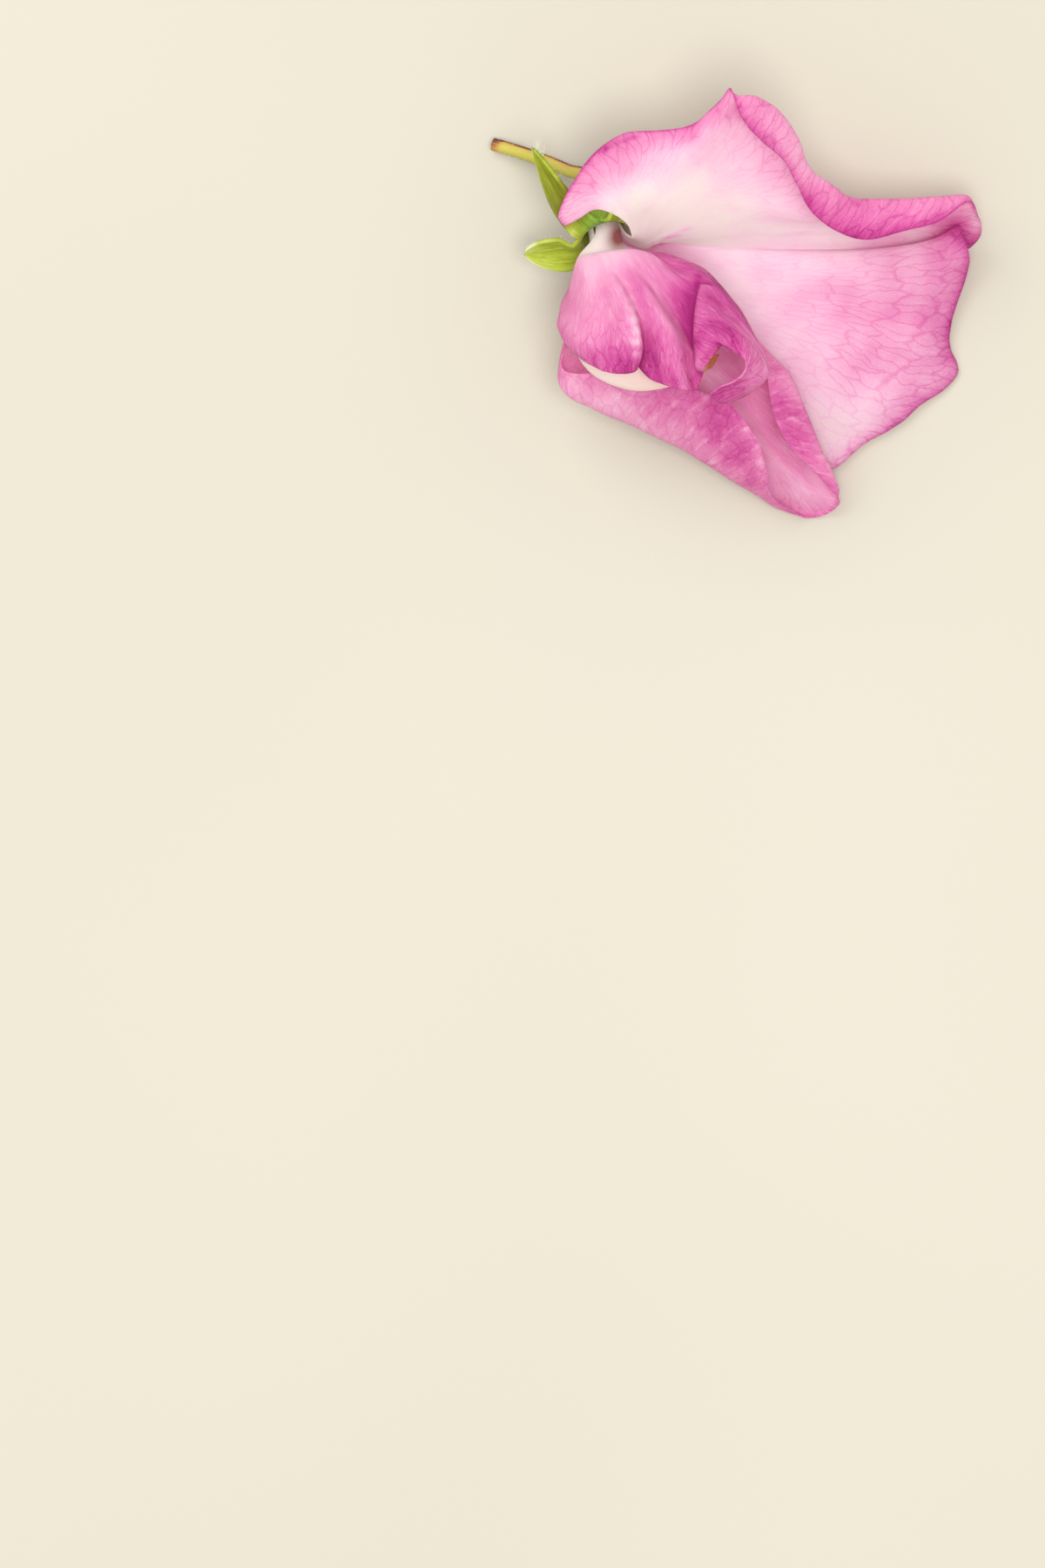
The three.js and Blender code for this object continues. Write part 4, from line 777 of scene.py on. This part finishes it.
def calyx_sepal(sheet, sepal, angle, below):
    """One sepal from the rim's points below it to its tip, bent back by its own amount."""
    outward = tube_point(angle, 1, 0) - MOUTH
    sideways = tube_point(angle + 90, 1, 0) - MOUTH
    axis = unit(FORWARD)
    middle = tube_point(angle, CALYX_RADIUS, 0)
    spread = np.radians(180 / len(SEPALS) * np.linspace(-1, 1, SEPAL_COLUMNS + 1))
    for row in range(1, SEPAL_ROWS + 1):
        share = row / SEPAL_ROWS
        bend = wave(share / sepal["bend_share"])
        turn = math.radians(sepal["start"] + (sepal["reflex"] - sepal["start"]) * bend)
        middle = middle + (axis * math.cos(turn) + outward * math.sin(turn)) * sepal["length"] / SEPAL_ROWS
        height = CALYX_DEPTH + sepal["length"] * share
        if row == SEPAL_ROWS:
            break
        tone = 0.42 + 0.3 * share ** 2 + sepal["shade"] * wave(share / 0.25)
        width = (1 - share) ** sepal["taper"] * (1 + sepal["swell"] * share)
        roll = math.radians(sepal["twist"]) * bend
        inward = axis * math.sin(turn) - outward * math.cos(turn)
        breadth = sideways * math.cos(roll) + inward * math.sin(roll)
        across = inward * math.cos(roll) - sideways * math.sin(roll)
        here = []
        for s in spread:
            lateral = CALYX_RADIUS * math.sin(s) * width
            sag = CALYX_RADIUS * (1 - math.cos(s)) * width
            crease = sepal["crease"] * math.exp(-(s / 0.12) ** 2) * width
            point = middle + breadth * lateral + across * (sag - crease)
            rim_light = 0.3 * wave((abs(s) / spread[-1] - 0.86) / 0.14) * wave((share - 0.3) / 0.4)
            here.append(sheet.add(point, angle + math.degrees(s), height, tone + rim_light))
        sheet.faces.extend([below[k], below[k + 1], here[k + 1], here[k]] for k in range(SEPAL_COLUMNS))
        below = here
    tip = sheet.add(middle, angle, height, 0.8)
    sheet.faces.extend([below[k], below[k + 1], tip] for k in range(SEPAL_COLUMNS))


def calyx(material):
    """The calyx: a cup whose mouth runs out into sepals. Returns its outer face and the normals there."""
    sheet = Sheet()
    rim = calyx_cup(sheet)
    for index, sepal in enumerate(SEPALS):
        angle = FIRST_SEPAL_ANGLE + 360 * index / len(SEPALS)
        below = [rim[(index * SEPAL_COLUMNS + k) % len(rim)] for k in range(SEPAL_COLUMNS + 1)]
        calyx_sepal(sheet, sepal, angle, below)
    points = np.array(sheet.points)
    normals = sheet_normals(points, sheet.faces)
    closed, solid = thicken(points, sheet.faces, normals, CALYX_THICKNESS)
    x, y = closed[:, 0], closed[:, 1]
    # Painted light: a paler tone in the shaded gaps beside the claws, and a painted highlight along the
    # rim
    facts = {
        "grain": twice(sheet.grain),
        "tone": twice(sheet.tone) + patches_at(CALYX_PALE_SPOTS_AND_LIGHT, x, y),
        "tint_and_painted_light": patches_at(CALYX_RIM_HIGHLIGHT, x, y),
    }
    build("calyx_cup_and_sepals", closed, solid, material, ["calyx"], facts)
    return closed[:len(points)], normals


def rays_round(side, rise, turn):
    """Rays that stand round each point of a line."""
    return side[:, None] * np.cos(turn)[None, :, None] + rise[:, None] * np.sin(turn)[None, :, None]


def ring_faces(rows, sides):
    """The faces between rings of points that follow one another."""
    faces = []
    for start in range(0, (rows - 1) * sides, sides):
        for k in range(sides):
            a, b = start + k, start + (k + 1) % sides
            faces.append([a, b, b + sides, a + sides])
    return faces


def rod(path, radii, sides, steps):
    """A closed rod round a smooth line, with its grain: turns round it and millimetres along it."""
    line = along_line(path, [steps] * (len(path) - 1))
    radius = read([[j * steps, value] for j, value in enumerate(radii)], np.arange(len(line)))
    along = unit(np.gradient(line, axis=0))
    side = unit(np.cross(unit(UPPER_SIDE), along))
    turn = np.linspace(0, 2 * math.pi, sides, endpoint=False)
    ring = rays_round(side, np.cross(along, side), turn)
    points = (line[:, None] + ring * radius[:, None, None]).reshape(-1, 3)
    rows = len(line)
    faces = ring_faces(rows, sides)
    faces.append(list(range(sides))[::-1])
    faces.append(list(range((rows - 1) * sides, rows * sides)))
    length = np.concatenate([[0], np.cumsum(np.linalg.norm(np.diff(line, axis=0), axis=1))])
    grain = np.stack([np.tile(turn * 2, rows), np.repeat(length, sides), np.zeros(rows * sides)], axis=1)
    return points, faces, grain, ring.reshape(-1, 3)


def join(parts):
    """Several (points, faces, grain) as one."""
    points, faces, grain = [], [], []
    count = 0
    for part_points, part_faces, part_grain in parts:
        points.append(part_points)
        grain.append(part_grain)
        faces.extend([corner + count for corner in face] for face in part_faces)
        count += len(part_points)
    return np.concatenate(points), faces, np.concatenate(grain)


def ball(centre, radius, direction, stretch, rows=7, sides=10):
    """A small ellipsoid, drawn out in one direction."""
    axis = unit(direction)
    side = unit(np.cross(axis, UPPER_SIDE))
    tilt = np.linspace(0, math.pi, rows + 1)[:, None, None]
    turn = np.linspace(0, 2 * math.pi, sides, endpoint=False)
    ring = rays_round(side[None], np.cross(axis, side)[None], turn)
    reach = axis * np.cos(tilt) * stretch + ring * np.maximum(np.sin(tilt), 0.02)
    points = centre + reach.reshape(-1, 3) * radius
    faces = [face[::-1] for face in ring_faces(rows + 1, sides)]
    return points, faces, (points - centre) * 3


def stalk(material):
    """The stalk, reddish on one side and dark at its cut end. Returns its points and their normals."""
    top_depth = -CALYX_DEPTH - CALYX_THICKNESS / 2 - STALK_GAP
    path = [*STALK_PATH, tube_point(0, 0, top_depth - 1.2), tube_point(0, 0, top_depth)]
    radii = [STALK_RADIUS] * len(STALK_PATH) + [STALK_NECK_RADIUS, STALK_TOP_RADIUS]
    points, faces, grain, rays = rod(path, radii, 24, 14)
    red_side = rays @ STALK_RED_SIDE
    cut_end = wave((1.5 - grain[:, 1]) / 1.2)
    tone = 0.4 + 0.15 * red_side + 0.4 * wave((red_side - 0.6) / 0.3) + 0.45 * cut_end
    build("stalk", points, faces, material, ["stalk"], {"grain": grain, "tone": tone})
    return points, rays


def keel(material):
    """The keel: two petals grown into one open pouch, narrow where it stands in the calyx."""
    def claw(radius, depth, reach):
        return [*tube_point(180, radius, depth), *tube_point(0, radius, depth), radius, reach]

    sections = [
        claw(KEEL_CLAW_RADIUS * CLAW_BASE_SHARE, CLAW_BASE_DEPTH, KEEL_CLAW_REACH[0]),
        claw(KEEL_CLAW_RADIUS, CLAW_EXIT_DEPTH, KEEL_CLAW_REACH[1]),
        *([*outer, *inner, width, reach] for outer, inner, width, reach in KEEL_SECTIONS),
    ]
    last = len(sections) - 1
    at = np.linspace(0, last, last * KEEL_STEPS + 1)
    section = smooth_at(np.arange(last + 1), sections, at)
    turn = np.radians(section[:, 7:8] * np.linspace(-1, 1, KEEL_COLUMNS)[None, :])
    mix = (0.5 + 0.5 * np.cos(turn))[..., None]
    outer, inner = section[:, None, 0:3], section[:, None, 3:6]
    grid = inner + (outer - inner) * mix
    grid = grid + unit(UPPER_SIDE) * (section[:, 6:7] * np.sin(turn))[..., None]
    lengths = along_ribs(grid)
    faces = [face[::-1] for face in grid_faces(*lengths.shape)]
    points, solid = thick_grid(grid, faces, -grid_normals(grid), KEEL_THICKNESS)
    grain = rib_grain(np.linspace(0, KEEL_RIBS, KEEL_COLUMNS), lengths).reshape(-1, 3)
    place = np.broadcast_to((at / last)[:, None], lengths.shape)
    tone = read(KEEL_BLUSH, place) + patches_at(KEEL_PATCHES, grid[..., 0], grid[..., 1])
    facts = {"grain": twice(grain), "tone": twice(tone.ravel()), "place": twice(place.ravel())}
    build("keel", points, solid, material, ["keel"], facts)


def column_line():
    """The line that the stamens and the pistil follow out of the calyx."""
    foot = tube_point(0, 0, COLUMN_BASE_DEPTH)
    return np.array([foot, tube_point(0, 0, COLUMN_BASE_DEPTH / 3), *COLUMN_PATH])


def column_frame(line):
    """Directions along the line, to its outer side and to its upper side."""
    along = unit(np.gradient(line, axis=0))
    outer = unit(np.cross(along, unit(UPPER_SIDE)))
    return along, outer, np.cross(along, outer)


def organ(name, parts, material, tone):
    points, faces, grain = join(parts)
    facts = {"grain": grain, "tone": np.full(len(points), tone)}
    build(name, points, faces, material, [name], facts)


def stamens(material):
    """Nine stamens: an open sheath round the pistil that parts into filaments tipped with anthers."""
    line = along_line(column_line(), [5] * (len(COLUMN_PATH) + 1))
    along, outer, upper = column_frame(line)
    turn = np.radians(SHEATH_OPENING * np.linspace(-1, 1, 25))
    grid = line[:, None] + rays_round(outer, upper, turn) * SHEATH_RADIUS
    points, solid = thick_grid(grid, grid_faces(*grid.shape[:2]), grid_normals(grid), SHEATH_THICKNESS)
    parts = [(points, solid, points * 2)]
    turn = np.radians(SHEATH_OPENING * 0.92 * np.linspace(-1, 1, FILAMENT_COUNT))
    for k, ray in enumerate(rays_round(outer, upper, turn)[-1]):
        root = line[-1] - along[-1] * 0.6 + ray * SHEATH_RADIUS
        reach = 1.2 + 0.35 * ((k * 5) % 3)
        tip = line[-1] + along[-1] * reach + ray * SHEATH_RADIUS * 0.95
        parts.append(rod([root, tip], [FILAMENT_RADIUS, FILAMENT_RADIUS * 0.7], 8, 4)[:3])
        parts.append(ball(tip, ANTHER_RADIUS * 0.8, along[-1] + ray * 0.3, 1.25))
    organ("stamens", parts, material, 0.5)


def free_stamen(material):
    """The tenth stamen, beside the sheath."""
    line = column_line()
    _, outer, _ = column_frame(line)
    path = line - outer * FREE_STAMEN_OFFSET
    filament = rod(path, [FILAMENT_RADIUS] * len(path), 8, 6)[:3]
    anther = ball(path[-1], ANTHER_RADIUS * 0.7, path[-1] - path[-2], 1.2)
    organ("free_stamen", [filament, anther], material, 0.5)


def pistil(material):
    path = [*column_line(), *STYLE_TIP]
    column = rod(path, [PISTIL_RADIUS] * len(path), 10, 6)[:3]
    organ("pistil", [column], material, 0.45)


def hairs(name, roots, normals, count, length, material, slot):
    """Short fine hairs that stand on a surface and don't reach below the floor."""
    chosen = RANDOM.choice(len(roots), count)
    turn = np.linspace(0, 2 * math.pi, 3, endpoint=False)
    points, faces = [], []
    for i in chosen:
        lean = unit(normals[i] + RANDOM.normal(0, 0.35, 3))
        side = unit(np.cross(lean, [0.3, 0.2, 0.9]))
        ring = rays_round(side[None], np.cross(lean, side)[None], turn)[0]
        root = roots[i] - lean * 0.05
        size = length * RANDOM.uniform(0.5, 1.2)
        start = len(points)
        points.extend(root + ring * HAIR_RADIUS)
        tip = root + lean * size + RANDOM.normal(0, 0.05, 3) * size
        points.append([tip[0], tip[1], max(tip[2], ORIGIN[2])])
        faces.extend([start + k, start + (k + 1) % 3, start + 3] for k in range(3))
    points = np.array(points)
    facts = {"grain": points * 2, "tone": np.full(len(points), 0.8)}
    build(name, points, faces, material, [], facts, smooth=False)


def sepal_tip(points, normals):
    """The calyx's points at the first sepal's tip, with directions for the hairs of its tuft."""
    rise = points @ SEPAL_TIP_RISE
    near = rise > rise.max() - TUFT_DEPTH
    return points[near], normals[near] * 0.15 + SEPAL_TIP_RISE


def floor(half_side=4.0):
    graph = Graph("floor_paint")
    place = graph.node("NewGeometry", {}).outputs["Position"]
    colour = graph.ramp(graph.noise(place, 6.0, 2.0), FLOOR_COLOURS)
    settings = {"Base Color": colour, "Roughness": 0.9, "Specular IOR Level": 0.1}
    material = graph.finish(graph.node("BsdfPrincipled", settings).outputs["BSDF"])
    mesh = bpy.data.meshes.new("floor")
    signs = [(-1, -1), (1, -1), (1, 1), (-1, 1)]
    corners = [(x * half_side, y * half_side, 0) for x, y in signs]
    mesh.from_pydata(corners, [], [(0, 1, 2, 3)])
    mesh.materials.append(material)
    plane = bpy.data.objects.new("floor", mesh)
    bpy.context.scene.collection.objects.link(plane)


def lamp(name, place, size, power, colour):
    """A round soft lamp that shines on the bloom."""
    data = bpy.data.lights.new(name, "AREA")
    data.shape = "DISK"
    data.size = size
    data.energy = power
    data.color = colour
    made = bpy.data.objects.new(name, data)
    made.location = place
    made.rotation_euler = (-Vector(place)).to_track_quat("-Z", "Y").to_euler()
    bpy.context.scene.collection.objects.link(made)


def studio_world():
    """Soft light from all around."""
    world = bpy.data.worlds.new("studio")
    world.use_nodes = True
    background = world.node_tree.nodes["Background"]
    background.inputs["Color"].default_value = (1.0, 0.99, 0.98, 1.0)
    background.inputs["Strength"].default_value = 0.8
    bpy.context.scene.world = world


standard_tissue = petal_material(
    "standard_tissue", PETAL_COLOURS, CLAW_MAUVE_AND_SHADE, cells=3.0, length=3.8,
    veins=0.11, streaks=0.18, streak_size=(6.0, 0.3), folds=0.12)
wing_tissue = petal_material(
    "wing_tissue", PETAL_COLOURS, CLAW_MAUVE_AND_SHADE, cells=3.0, length=2.3,
    veins=0.13, streaks=0.3, streak_size=(4.0, 0.5), folds=0.25)
flap_tissue = petal_material(
    "flap_tissue", PETAL_COLOURS, CLAW_MAUVE_AND_SHADE, cells=2.6, length=2.6,
    veins=0.07, streaks=0.4, streak_size=(5.0, 0.35), folds=0.2)
keel_tissue = petal_material(
    "keel_tissue", KEEL_COLOURS, "e6bcae", cells=1.2, length=3.0,
    veins=0.05, streaks=0.05, streak_size=(2.0, 0.3), folds=0.05)
# Its bright green tint is the painted highlight along the calyx's rim
calyx_tissue = leaf_material("calyx_tissue", CALYX_COLOURS, "86b53c", through=0.25)
stalk_tissue = leaf_material("stalk_tissue", STALK_COLOURS, "4e2c16", through=0.05)
organ_tissue = leaf_material("organ_tissue", ORGAN_COLOURS, "e3c65a", through=0.2)
pistil_tissue = leaf_material("pistil_tissue", PISTIL_COLOURS, "8fae4c", through=0.2)
hair_tissue = leaf_material("hair_tissue", HAIR_COLOURS, "f6f7ea", through=0.3)

petal("standard", STANDARD, STANDARD_LOOK, standard_tissue)
petal("wing_upper", WING_UPPER, WING_UPPER_LOOK, wing_tissue)
petal("wing_lower", WING_LOWER, WING_LOWER_LOOK, flap_tissue)
keel(keel_tissue)
calyx_points, calyx_normals = calyx(calyx_tissue)
stalk_points, stalk_normals = stalk(stalk_tissue)
stamens(organ_tissue)
free_stamen(organ_tissue)
pistil(pistil_tissue)
hairs("calyx_hairs", calyx_points, calyx_normals, 1500, 0.45, hair_tissue, "calyx")
hairs("sepal_tip_hairs", *sepal_tip(calyx_points, calyx_normals), 70, 1.5, hair_tissue, "calyx")
hairs("stalk_hairs", stalk_points, stalk_normals, 260, 0.35, hair_tissue, "stalk")

floor()
lamp("key", (-0.5, 0.55, 0.95), size=1.0, power=7.0, colour=(1.0, 0.985, 0.965))
lamp("top", (0.1, -0.15, 1.3), size=0.6, power=11.8, colour=(1.0, 0.985, 0.98))
studio_world()
bpy.context.scene.view_settings.view_transform = "Standard"

PHOTO_MIDDLE = np.array([-24.8, -53.3, 8.0])
PHOTO_HEIGHT = 171.4
CAMERA_DISTANCE = 3000.0
camera_data = bpy.data.cameras.new("camera")
camera_data.sensor_width = 36.0
camera_data.lens = 36.0 * CAMERA_DISTANCE / PHOTO_HEIGHT
camera_data.clip_start = 0.1
camera_data.clip_end = 20.0
camera = bpy.data.objects.new("camera", camera_data)
camera.location = (PHOTO_MIDDLE + [0, 0, CAMERA_DISTANCE] - ORIGIN) * MM
bpy.context.scene.collection.objects.link(camera)
bpy.context.scene.camera = camera
